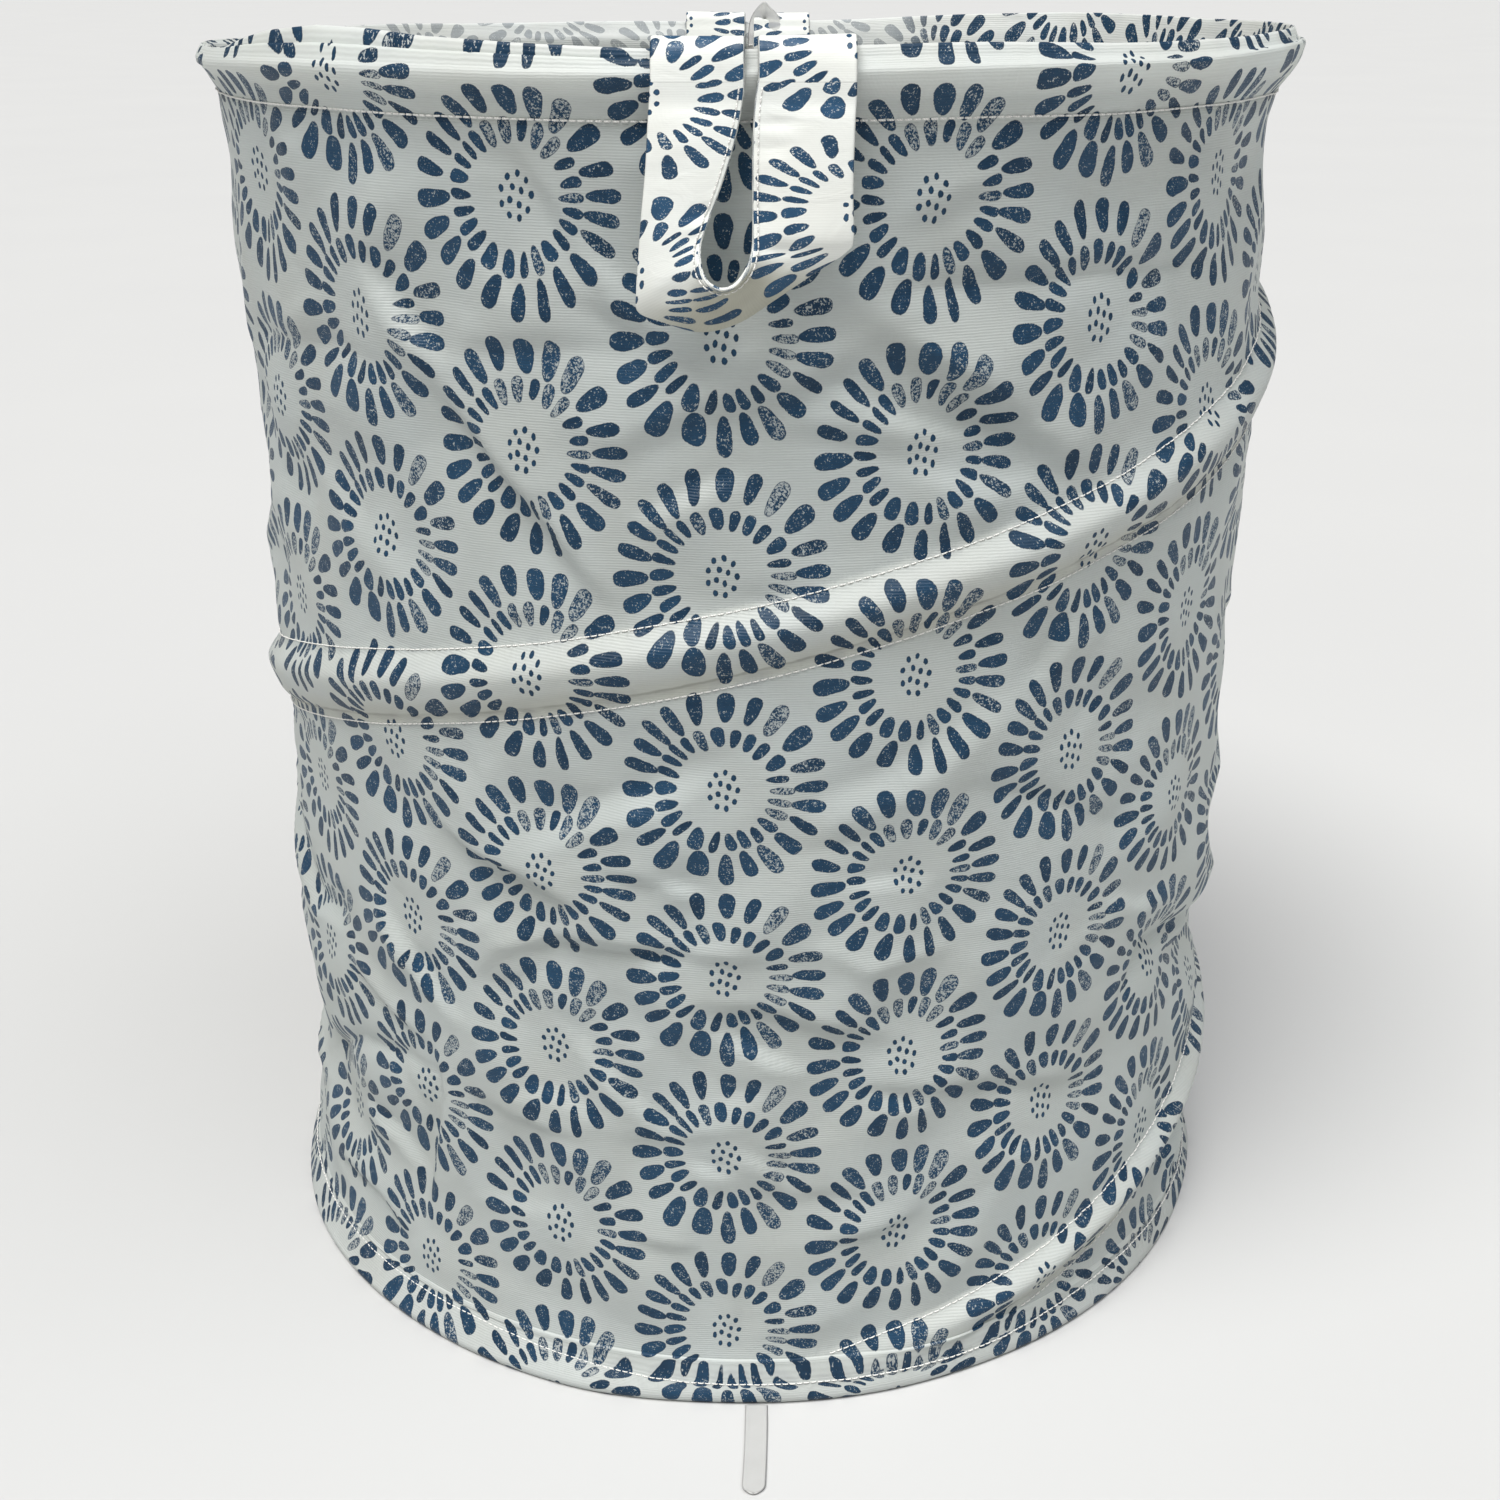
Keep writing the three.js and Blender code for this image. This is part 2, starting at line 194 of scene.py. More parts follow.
FOLDS = [
    # over the spiral
    Fold("v", [(858, 292), (975, 284), (1100, 272), (1232, 258)], 2.0, 3.5, 15),
    Fold("s", [(846, 312), (905, 350), (1000, 412), (1082, 476)], 1.7, 5.5, far=20),
    Fold("s", [(822, 382), (890, 416), (985, 441)], -1.0, 3.2, far=12),
    Fold("s", [(360, 258), (395, 316), (444, 368)], -1.5, 4.5, far=14),
    Fold("s", [(420, 372), (480, 450), (545, 530), (616, 616)], 1.6, 4.2, far=24),
    Fold("v", [(430, 353), (520, 351), (650, 352)], 1.7, 7, 15),
    Fold("v", [(246, 326), (330, 346), (405, 374)], 1.6, 5, 14),
    Fold("s", [(496, 125), (545, 200), (625, 335)], 0.8, 3.2, far=14),
    Fold("s", [(596, 458), (700, 414), (800, 392), (884, 343)], 1.2, 6, far=13),
    Fold("s", [(765, 430), (840, 434), (915, 454)], 0.8, 4.5, far=12),
    Fold("s", [(632, 524), (700, 492), (750, 476)], -0.9, 4, far=12),
    Fold("s", [(686, 338), (748, 303)], -0.8, 3.5, far=9),
    Fold("s", [(556, 288), (640, 330), (725, 384)], 0.7, 3.2, far=12),
    Fold("r", [(545, 405), (580, 425), (640, 452)], 0.7, 5, 5),
    Fold("s", [(884, 236), (960, 200), (1020, 182)], 0.6, 6, far=14),
    Fold("r", [(372, 150), (366, 262)], 0.6, 7, 7),
    Fold("s", [(560, 218), (590, 262), (640, 300)], -0.6, 3.5, far=10),
    Fold("s", [(905, 470), (985, 486), (1060, 476)], -0.6, 4, far=14),
    Fold("s", [(300, 440), (350, 520), (430, 600)], -0.5, 7, far=18),
    Fold("r", [(360, 470), (378, 560), (402, 632)], 0.5, 6, 6),
    # under the spiral
    Fold("r", [(466, 730), (486, 782), (480, 836)], 0.6, 3.2, 3.2),
    Fold("s", [(520, 846), (590, 818), (660, 797), (720, 764)], -1.2, 6.5, far=14),
    Fold("s", [(790, 822), (900, 782), (955, 740), (1014, 686)], -1.0, 7.5, far=15),
    Fold("s", [(1038, 684), (1056, 655), (1074, 616)], -0.9, 3.6, far=9),
    Fold("v", [(932, 812), (972, 786), (1050, 799), (1138, 828)], 1.5, 3.2, 9),
    Fold("s", [(436, 824), (470, 852), (520, 876), (580, 910)], 1.4, 3.2, far=14),
    Fold("s", [(374, 900), (410, 960), (462, 1026)], -1.3, 3.8, far=14),
    Fold("s", [(466, 990), (500, 953), (560, 940), (650, 950), (778, 963)], 1.1, 3.4, far=13),
    Fold("r", [(792, 958), (830, 949), (862, 968), (905, 958), (960, 944)], 1.0, 3.2, 3.2),
    Fold("s", [(836, 888), (880, 884), (936, 880)], -0.6, 2.8, far=8),
    Fold("s", [(658, 878), (708, 898)], -0.8, 3, far=8),
    Fold("s", [(592, 866), (640, 880), (668, 888)], 0.6, 3, far=9),
    Fold("s", [(686, 1008), (760, 1014), (830, 1030), (906, 1046)], 1.2, 5, far=13),
    Fold("s", [(712, 1033), (750, 1052), (808, 1076)], -1.3, 2.9, far=9),
    Fold("s", [(556, 1016), (600, 1070), (640, 1110), (680, 1143)], -0.9, 4, far=11),
    Fold("s", [(736, 1148), (768, 1169), (794, 1192)], -0.9, 2.8, far=8),
    Fold("s", [(686, 1163), (732, 1181)], -0.7, 2.8, far=8),
    Fold("s", [(850, 1086), (960, 1088), (1104, 1075)], 0.8, 3.4, far=13),
    Fold("s", [(866, 1100), (930, 1108)], -0.6, 3, far=9),
    Fold("r", [(738, 1255), (732, 1300), (728, 1345)], 0.8, 3, 3),
    Fold("s", [(428, 1036), (440, 1100), (430, 1150), (424, 1222)], 1.1, 3.2, far=10),
    Fold("v", [(322, 1048), (352, 1040), (400, 1058), (444, 1084)], 2.6, 6, 9, ends=(0, 1)),
    Fold("s", [(345, 960), (385, 1010), (425, 1046)], 1.2, 4, far=11),
    Fold("s", [(352, 1100), (390, 1138), (420, 1180)], -0.9, 4, far=9),
    Fold("s", [(340, 1150), (380, 1196), (410, 1240)], 0.9, 4, far=9),
    Fold("v", [(1120, 1010), (1150, 945), (1196, 904)], 3.0, 6, 7, ends=(1, 0)),
    Fold("s", [(1096, 892), (1130, 902), (1180, 884)], -0.8, 4, far=11),
    Fold("s", [(630, 1238), (700, 1252)], 0.6, 3.2, far=10),
    Fold("s", [(826, 1243), (880, 1232), (925, 1212)], 0.7, 3.2, far=10),
    Fold("s", [(960, 1130), (1010, 1150), (1070, 1140)], -0.5, 4, far=12),
    Fold("s", [(470, 1100), (520, 1120), (590, 1140)], 0.6, 3.4, far=10),
    Fold("r", [(612, 985), (670, 1010), (690, 1060)], 0.5, 4, 4),
    Fold("s", [(495, 1090), (560, 1096), (612, 1128)], -0.5, 3.4, far=10),
    Fold("v", [(790, 856), (850, 842), (900, 830)], 0.7, 3, 7),
]

# small creases all round, more of them where the photograph doesn't look
_r = np.random.RandomState(41)
for _ in range(230):
    t = _r.uniform(90, 450)
    facing = 205 < t < 335
    z = _r.uniform(45, 500)
    size = _r.uniform(18, 75) if facing else _r.uniform(25, 130)
    lean = _r.uniform(-55, 55)
    bend = _r.uniform(-0.18, 0.18) * size
    c, s = math.cos(math.radians(lean)), math.sin(math.radians(lean))
    pts = []
    for k in np.linspace(-0.5, 0.5, 4):
        u, v = k * size, bend * (1 - 4 * k * k)
        pts.append((t + math.degrees((u * c - v * s) / R_UV), z + u * s + v * c))
    a = _r.uniform(0.12, 0.42) if facing else _r.uniform(0.3, 1.3)
    kind = "s" if _r.rand() < 0.7 else ("r" if _r.rand() < 0.5 else "v")
    w = _r.uniform(2.6, 5.0) if facing else _r.uniform(3.0, 7.5)
    FOLDS.append(Fold(kind, pts, a * (1 if _r.rand() < 0.5 else -1) if kind == "s" else a, w, far=_r.uniform(8, 20), pixels=False))


_r = np.random.RandomState(77)
FACETS = [(int(_r.choice([-1, 1]) * _r.randint(5, 24)), _r.choice([-1, 1]) * 2 * math.pi / _r.uniform(48, 150), _r.uniform(0, 1), _r.uniform(0.16, 0.42),
           _r.uniform(0, 6.28, 4), _r.randint(2, 6), _r.uniform(70, 160)) for _ in range(11)]


def crumple(deg, z):
    """Flat facets with straight creases between them, in patches, as stiff thin cloth takes."""
    t, out = np.radians(deg), 0.0
    for m, q, phase, a, w, j, lam in FACETS:
        bend = 0.16 * np.sin(j * t + z / 55 + w[0]) + 0.13 * np.sin((j + 3) * t - z / 38 + w[1])
        f = (m * t + q * z) / (2 * math.pi) + phase + bend
        patch = smooth(np.sin((j + 1) * t + w[2] + z / lam) + np.cos(z / (lam * 0.6) + w[3] - j * t), -0.9, 1.1)
        out = out + a * patch * (np.abs((f % 1.0) * 4 - 2) - 1)
    return out


def coil_parts(deg, z):
    """For each crossing of the spiral: height over the wire, and how strongly the cloth stands out there."""
    for turn in (-360, 0, 360):
        d = deg + turn
        zw = coil_z(d)
        on = smooth(d, COIL_FROM - 24, COIL_FROM + 1) * (1 - smooth(d, COIL_TO - 14, COIL_TO + 2))
        yield z - zw, on * smooth(zw, -2, 30) * (1 - smooth(zw, 488, 512))


def wall_r(deg, z):
    """The outer radius of the wall's cloth."""
    deg, z = np.broadcast_arrays(np.asarray(deg, float), np.asarray(z, float))
    deg, z = deg.copy(), z.copy()
    c = np.cos(np.radians(deg))
    back = np.clip(np.sin(np.radians(deg)), 0, 1)
    wl, wr = smooth(-c, 0.25, 0.98), smooth(c, 0.25, 0.98)
    zn = z + 9.0 * ring_noise(deg, 7) * smooth(z, 30, 90) * (1 - smooth(z, 440, 510))
    base = side_profile(FRONT, zn) * (1 - wl - wr) + side_profile(LEFT, zn) * wl + side_profile(RIGHT, zn) * wr
    calm = smooth(z, 20, 60) * (1 - smooth(z, 480, 516))
    base = base + calm * (0.8 * ring_noise(deg, 3) * np.cos(z / 61.0) + 0.7 * ring_noise(deg, 4) * np.sin(z / 37.0 + 1)
                          + back * 1.1 * ring_noise(deg, 5) * np.sin(z / 83.0))
    tent = 0.0
    for d, on in coil_parts(deg, z):
        d = np.where(d > 0, d * SEAM_UP / seam_up(deg, z - d), d)
        tent = tent + (7.7 + 0.5 * ring_noise(deg, 6)) * on * np.interp(d, _tx, _ty, left=0, right=0)
    x = np.radians(deg) * R_UV
    folds = np.zeros(z.shape)
    flat_x, flat_z, flat = x.ravel(), z.ravel(), folds.ravel()
    for f in FOLDS:
        f.add(flat_x, flat_z, flat)
    folds = flat.reshape(z.shape)
    # the wires and hems hold the cloth, so the creases die out there
    hold = smooth(z, 15, 34) * (1 - smooth(z, 503, 518))
    for d, on in coil_parts(deg, z):
        tame = smooth(d, -15, -7) * (1 - smooth(d, 20, 31))
        hold = hold * (1 - 0.80 * on * tame)
    r = base + tent + (FOLD_GAIN * folds + CRUMPLE_GAIN * crumple(deg, z)) * hold
    # inside the top hem, the wall's edge lies behind the hem's outer leg
    inside = np.interp(z, [519, 522, 525], [0, 1.0, 2.3])
    r = r + np.where(z > 519, inside, 0.0)
    # small puckers where the hems are sewn
    pucker = 0.32 * np.exp(-np.abs(z - HEM_STITCH + 2) / 7) + 0.30 * np.exp(-np.abs(z - LOW_STITCH - 2) / 6)
    return r + pucker * ring_noise(deg * 9, 11, n=14, low=3)


# ------------------------------------------------------------------ mesh helpers
def polar(r, deg, z):
    t = np.radians(deg)
    r, t, z = np.broadcast_arrays(r, t, z)
    return np.stack([r * np.cos(t), r * np.sin(t), z], axis=-1)


def make(name, points, quads, uv=None, mats=(), flat_last=0):
    """A mesh from points in millimetres, four-cornered faces, and a UV for each corner in millimetres."""
    me = bpy.data.meshes.new(name)
    points = np.asarray(points, np.float64).reshape(-1, 3) * 0.001
    quads = np.asarray(quads, np.int32).reshape(-1, 4)
    me.vertices.add(len(points))
    me.vertices.foreach_set("co", points.astype(np.float32).ravel())
    me.loops.add(quads.size)
    me.loops.foreach_set("vertex_index", quads.ravel())
    me.polygons.add(len(quads))
    me.polygons.foreach_set("loop_start", np.arange(0, quads.size, 4, dtype=np.int32))
    me.polygons.foreach_set("loop_total", np.full(len(quads), 4, np.int32))
    me.update(calc_edges=True)
    me.validate(clean_customdata=False)
    soft = np.ones(len(me.polygons), bool)
    if flat_last:
        soft[-flat_last:] = False
    me.polygons.foreach_set("use_smooth", soft)
    if uv is not None:
        layer = me.uv_layers.new(name="cloth")
        layer.data.foreach_set("uv", (np.asarray(uv, np.float64) * 0.001).astype(np.float32).ravel())
    ob = bpy.data.objects.new(name, me)
    scene.collection.objects.link(ob)
    for m in mats:
        me.materials.append(m)
    return ob


def grid_faces(nr, nc, wrap_r=False, wrap_c=False, flip=False):
    """Corner indices and (row, column) of each corner, with unwrapped columns for UVs."""
    rows, cols = np.arange(nr if wrap_r else nr - 1), np.arange(nc if wrap_c else nc - 1)
    i, j = [a.ravel() for a in np.meshgrid(rows, cols, indexing="ij")]
    ci = np.stack([i, i, i + 1, i + 1], 1)
    cj = np.stack([j, j + 1, j + 1, j], 1)
    if flip:
        ci, cj = ci[:, ::-1], cj[:, ::-1]
    return (ci % nr) * nc + (cj % nc), ci, cj


def sheet_grid(name, P, U, mats, wrap_c=False, wrap_r=False, flip=False):
    """P is rows by columns of points; U the same of UVs, with one more column or row where it wraps."""
    nr, nc = P.shape[:2]
    f, ci, cj = grid_faces(nr, nc, wrap_r, wrap_c, flip)
    return make(name, P, f, U[ci, cj].reshape(-1, 2), mats)


def spline(ctrl, n, axis=0, closed=False):
    """Catmull-Rom through control points along the first axis, n points."""
    c = np.asarray(ctrl, float)
    k = len(c)
    t = np.linspace(0, k - 1, n)
    i = np.clip(np.floor(t).astype(int), 0, k - 2)
    f = (t - i).reshape((-1,) + (1,) * (c.ndim - 1))
    p0, p1, p2, p3 = c[np.maximum(i - 1, 0)], c[i], c[i + 1], c[np.minimum(i + 2, k - 1)]
    return 0.5 * (2 * p1 + (p2 - p0) * f + (2 * p0 - 5 * p1 + 4 * p2 - p3) * f ** 2 + (3 * p1 - p0 - 3 * p2 + p3) * f ** 3)


def stitches(name, line, normal, mat, pitch=3.0, radius=0.27, share=0.84, lift=0.2, sides=6):
    """A row of separate stitches along a line of points, each dipping into the cloth at its ends."""
    line, normal = np.asarray(line, float), np.asarray(normal, float)
    d = np.concatenate([[0], np.cumsum(np.linalg.norm(np.diff(line, axis=0), axis=1))])
    n = max(1, int(d[-1] / pitch))
    rng = np.random.RandomState(len(line) + n)
    start = (np.arange(n) + 0.08) * d[-1] / n
    prof = np.array([-0.55, 0.55, 1.0, 1.0, 0.55, -0.55])
    at = np.array([0, 0.12, 0.35, 0.65, 0.88, 1.0])
    s = start[:, None] + at[None, :] * (share * d[-1] / n)
    pos = np.stack([np.interp(s, d, line[:, k]) for k in range(3)], -1)
    nor = np.stack([np.interp(s, d, normal[:, k]) for k in range(3)], -1)
    nor /= np.linalg.norm(nor, axis=-1, keepdims=True)
    tan = pos[:, -1] - pos[:, 0]
    tan = (tan / np.linalg.norm(tan, axis=-1, keepdims=True))[:, None, :] * np.ones((1, len(at), 1))
    side = np.cross(tan, nor)
    skew = rng.uniform(-0.12, 0.12, (n, 1, 1)) * (at - 0.5)[None, :, None]
    pos = pos + nor * (prof * lift)[None, :, None] + side * skew
    rad = radius * np.array([0.75, 1, 1.06, 1.06, 1, 0.75])
    ang = np.arange(sides) * 2 * math.pi / sides
    ring = (pos[:, :, None] + nor[:, :, None] * (np.sin(ang) * rad[:, None])[None, :, :, None]
            + side[:, :, None] * (np.cos(ang) * rad[:, None])[None, :, :, None])
    m = len(at)
    i, j = [a.ravel() for a in np.meshgrid(np.arange(m - 1), np.arange(sides), indexing="ij")]
    one = np.stack([i * sides + j, i * sides + (j + 1) % sides, (i + 1) * sides + (j + 1) % sides, (i + 1) * sides + j], 1)
    caps = [[0, 1, 2, 3], [0, 3, 4, 5]] if sides == 6 else []
    caps = [c[::-1] for c in caps] + [[(m - 1) * sides + k for k in c] for c in caps]
    one = np.concatenate([one, np.array(caps, int)]) if caps else one
    Q = (one[None] + (np.arange(n) * m * sides)[:, None, None]).reshape(-1, 4)
    P = ring.reshape(-1, 3)
    along = np.repeat(s.reshape(-1), sides)
    around = np.tile(ang * radius, n * m)
    V = np.stack([around, along], 1)[Q].reshape(-1, 2)
    return make(name, P, Q, V, [mat])


# ------------------------------------------------------------------ materials
class Tree:
    """Builds a flat node tree. Sockets and numbers can be mixed as inputs."""

    def __init__(self, name):
        self.mat = bpy.data.materials.new(name)
        self.mat.use_nodes = True
        self.t = self.mat.node_tree
        self.t.nodes.clear()

    def node(self, kind, **sets):
        n = self.t.nodes.new(kind)
        for k, v in sets.items():
            setattr(n, k, v)
        return n

    def plug(self, socket, value):
        if isinstance(value, bpy.types.NodeSocket):
            self.t.links.new(value, socket)
        elif value is not None:
            socket.default_value = value

    def m(self, op, a, b=None, c=None, clamp=False):
        n = self.node("ShaderNodeMath", operation=op, use_clamp=clamp)
        for s, v in zip(n.inputs, (a, b, c)):
            self.plug(s, v)
        return n.outputs[0]

    def xyz(self, x=0.0, y=0.0, z=0.0):
        n = self.node("ShaderNodeCombineXYZ")
        for s, v in zip(n.inputs, (x, y, z)):
            self.plug(s, v)
        return n.outputs[0]

    def ramp(self, v, a, b, c=0.0, d=1.0, soft=True):
        n = self.node("ShaderNodeMapRange", interpolation_type="SMOOTHSTEP" if soft else "LINEAR", clamp=True)
        for s, x in zip(n.inputs, (v, a, b, c, d)):
            self.plug(s, x)
        return n.outputs[0]

    def noise(self, vec, scale, detail=2.0, rough=0.5, distort=0.0, dim="2D"):
        n = self.node("ShaderNodeTexNoise", noise_dimensions=dim)
        self.plug(n.inputs["Vector"], vec)
        n.inputs["Scale"].default_value = scale
        n.inputs["Detail"].default_value = detail
        n.inputs["Roughness"].default_value = rough
        n.inputs["Distortion"].default_value = distort
        return n.outputs["Fac"]

    def rand(self, x, y, seed):
        """Four numbers from 0 to 1 for a cell."""
        n = self.node("ShaderNodeTexWhiteNoise", noise_dimensions="3D")
        self.plug(n.inputs["Vector"], self.xyz(x, y, seed))
        s = self.node("ShaderNodeSeparateColor")
        self.t.links.new(n.outputs["Color"], s.inputs[0])
        return s.outputs[0], s.outputs[1], s.outputs[2], n.outputs["Value"]

    def mix(self, f, a, b, kind="MIX"):
        n = self.node("ShaderNodeMix", data_type="RGBA", blend_type=kind)
        self.plug(n.inputs[0], f)
        for s, v in ((n.inputs[6], a), (n.inputs[7], b)):
            self.plug(s, (*v, 1.0) if isinstance(v, tuple) and len(v) == 3 else v)
        return n.outputs[2]

    def uv(self):
        n = self.node("ShaderNodeUVMap")
        n.uv_map = "cloth"
        s = self.node("ShaderNodeSeparateXYZ")
        self.t.links.new(n.outputs[0], s.inputs[0])
        return n.outputs[0], s.outputs[0], s.outputs[1]

    def bump(self, height, distance, strength=1.0, normal=None):
        n = self.node("ShaderNodeBump")
        n.inputs["Strength"].default_value = strength
        n.inputs["Distance"].default_value = distance
        self.plug(n.inputs["Height"], height)
        if normal is not None:
            self.t.links.new(normal, n.inputs["Normal"])
        return n.outputs[0]

    def finish(self, shader):
        out = self.node("ShaderNodeOutputMaterial")
        self.t.links.new(shader, out.inputs["Surface"])
        return self.mat


def burst_print(T, vec, u, v, eased=True, bold=1.0):
    """The print: bursts of petals on a half-drop grid. Gives the ink's share from 0 to 1, and a number for each petal."""
    m = T.m
    fine = m("SUBTRACT", T.noise(vec, 1500.0, 1.0), 0.5)
    slow = m("SUBTRACT", T.noise(vec, 170.0, 1.0), 0.5)
    slow2 = m("SUBTRACT", T.noise(T.xyz(v, u, 0.0), 150.0, 1.0), 0.5)
    # millimetres
    x = m("ADD", m("MULTIPLY_ADD", u, 1000.0, m("MULTIPLY", slow, 0.9)), m("MULTIPLY", fine, 0.35))
    y = m("ADD", m("MULTIPLY_ADD", v, 1000.0, m("MULTIPLY", slow2, 0.9)), m("MULTIPLY", fine, 0.35))
    if eased:
        # the cloth isn't stretched the same all the way up
        y = m("SUBTRACT", y, m("MULTIPLY", T.ramp(v, 0.060, 0.110), 3.5))
        y = m("ADD", y, m("MULTIPLY", T.ramp(v, 0.205, 0.265), 3.5))
        y = m("SUBTRACT", y, m("MULTIPLY", T.ramp(v, 0.425, 0.492), 3.5))
    xa = m("WRAP", x, COL, -COL)
    ya = m("WRAP", m("SUBTRACT", y, 448.0), ROW / 2, -ROW / 2)
    xb = m("WRAP", m("SUBTRACT", x, COL), COL, -COL)
    yb = m("WRAP", m("SUBTRACT", y, 490.5), ROW / 2, -ROW / 2)
    da = m("ADD", m("MULTIPLY", xa, xa), m("MULTIPLY", ya, ya))
    db = m("ADD", m("MULTIPLY", xb, xb), m("MULTIPLY", yb, yb))
    odd = m("GREATER_THAN", da, db)
    pick = lambda a, b: m("MULTIPLY_ADD", odd, m("SUBTRACT", b, a), a)
    px, py = pick(xa, xb), pick(ya, yb)
    r = m("SQRT", pick(da, db))
    phi = m("ARCTAN2", py, px)
    warp = m("ADD", m("MULTIPLY", m("SINE", m("MULTIPLY_ADD", phi, 2.0, 0.9)), 0.060),
             m("MULTIPLY", m("SINE", m("MULTIPLY_ADD", phi, 5.0, 0.4)), 0.030))
    bent = m("ADD", phi, warp)

    def ring(count, centre, half, thin, wide, lean, seed, shift):
        a = m("MULTIPLY_ADD", bent, count / (2 * math.pi), shift)
        k = m("FLOOR", a)
        f = m("SUBTRACT", m("SUBTRACT", a, k), 0.5)
        cell = m("FLOORED_MODULO", k, float(count))
        r1, r2, r3, r4 = T.rand(cell, odd, seed)
        s = m("MULTIPLY", m("MULTIPLY", f, 2 * math.pi / count), r)
        off = m("SUBTRACT", r, m("MULTIPLY_ADD", r2, 2.0 * half / 6.0, centre - 1.0 * half / 6.0))
        s = m("SUBTRACT", s, m("MULTIPLY", off, m("MULTIPLY_ADD", r1, 2 * lean, -lean)))
        t = m("DIVIDE", off, m("MULTIPLY_ADD", r3, 0.24 * half, 0.88 * half))
        w = m("MULTIPLY_ADD", r4, wide - thin, thin)
        w = m("MULTIPLY", w, m("MULTIPLY_ADD", m("MAXIMUM", m("MINIMUM", t, 1.0), -1.0), 0.26, 1.0))
        q = m("ADD", m("POWER", m("ABSOLUTE", t), 2.7), m("POWER", m("ABSOLUTE", m("DIVIDE", s, w)), 2.2))
        edge = m("MULTIPLY", m("SUBTRACT", 1.0, m("SQRT", q)), w)
        return edge, r3, r1

    e1, p1, p1b = ring(22, 33.0, 6.2 * (0.6 + 0.4 * bold), 2.0 * bold, 2.95 * bold, 0.15, 3.0, 0.17)
    e2, p2, p2b = ring(24, 21.5, 4.1 * (0.6 + 0.4 * bold), 1.35 * bold, 2.0 * bold, 0.13, 8.0, 0.31)
    dpx, dpy = m("DIVIDE", px, 0.85), m("DIVIDE", py, 1.15)
    dr = m("SQRT", m("ADD", m("MULTIPLY", dpx, dpx), m("MULTIPLY", dpy, dpy)))
    dphi = m("ARCTAN2", dpy, dpx)

    def dots(count, centre, size, turn):
        a = m("MULTIPLY_ADD", dphi, count / (2 * math.pi), turn)
        f = m("MULTIPLY", m("SUBTRACT", m("FRACT", a), 0.5), 2 * math.pi / count)
        dx = m("SUBTRACT", m("MULTIPLY", dr, m("COSINE", f)), centre)
        dy = m("MULTIPLY", dr, m("SINE", f))
        return m("SUBTRACT", size, m("SQRT", m("ADD", m("MULTIPLY", dx, dx), m("MULTIPLY", dy, dy))))

    outer = m("GREATER_THAN", e1, e2)
    sel = lambda a, b: m("MULTIPLY_ADD", outer, m("SUBTRACT", a, b), b)
    petal, kind, kind2 = m("MAXIMUM", e1, e2), sel(p1, p2), sel(p1b, p2b)
    dot = m("MAXIMUM", dots(4, 2.7, 1.12, 0.2), dots(9, 6.3, 1.12, 0.45))
    edge = m("MAXIMUM", petal, dot)
    ink = T.ramp(edge, -0.08, 0.14)
    # worn petals: more of them on the upper right of a burst
    worn = T.ramp(m("ADD", kind, m("MULTIPLY", m("COSINE", m("SUBTRACT", phi, 0.75)), 0.24)), 0.62, 1.08)
    grain = T.noise(vec, 1150.0, 3.0, 0.72)
    patchy = T.noise(vec, 330.0, 1.0, 0.5)
    bare = m("ADD", m("ADD", grain, m("MULTIPLY_ADD", patchy, 0.30, -0.15)), m("MULTIPLY", worn, 0.17))
    bare = m("MULTIPLY", T.ramp(bare, 0.645, 0.70), m("GREATER_THAN", petal, dot))
    # the ink is a little denser round a petal's rim
    bare = m("MULTIPLY", bare, T.ramp(edge, 0.05, 0.40, 0.15, 1.0))
    ink = m("MULTIPLY", ink, m("MULTIPLY_ADD", bare, -0.80, 1.0))
    rim = T.ramp(edge, 0.1, 0.7, 1.0, 0.0)
    return ink, m("ADD", m("MULTIPLY", kind2, 0.7), m("MULTIPLY", patchy, 0.6)), rim


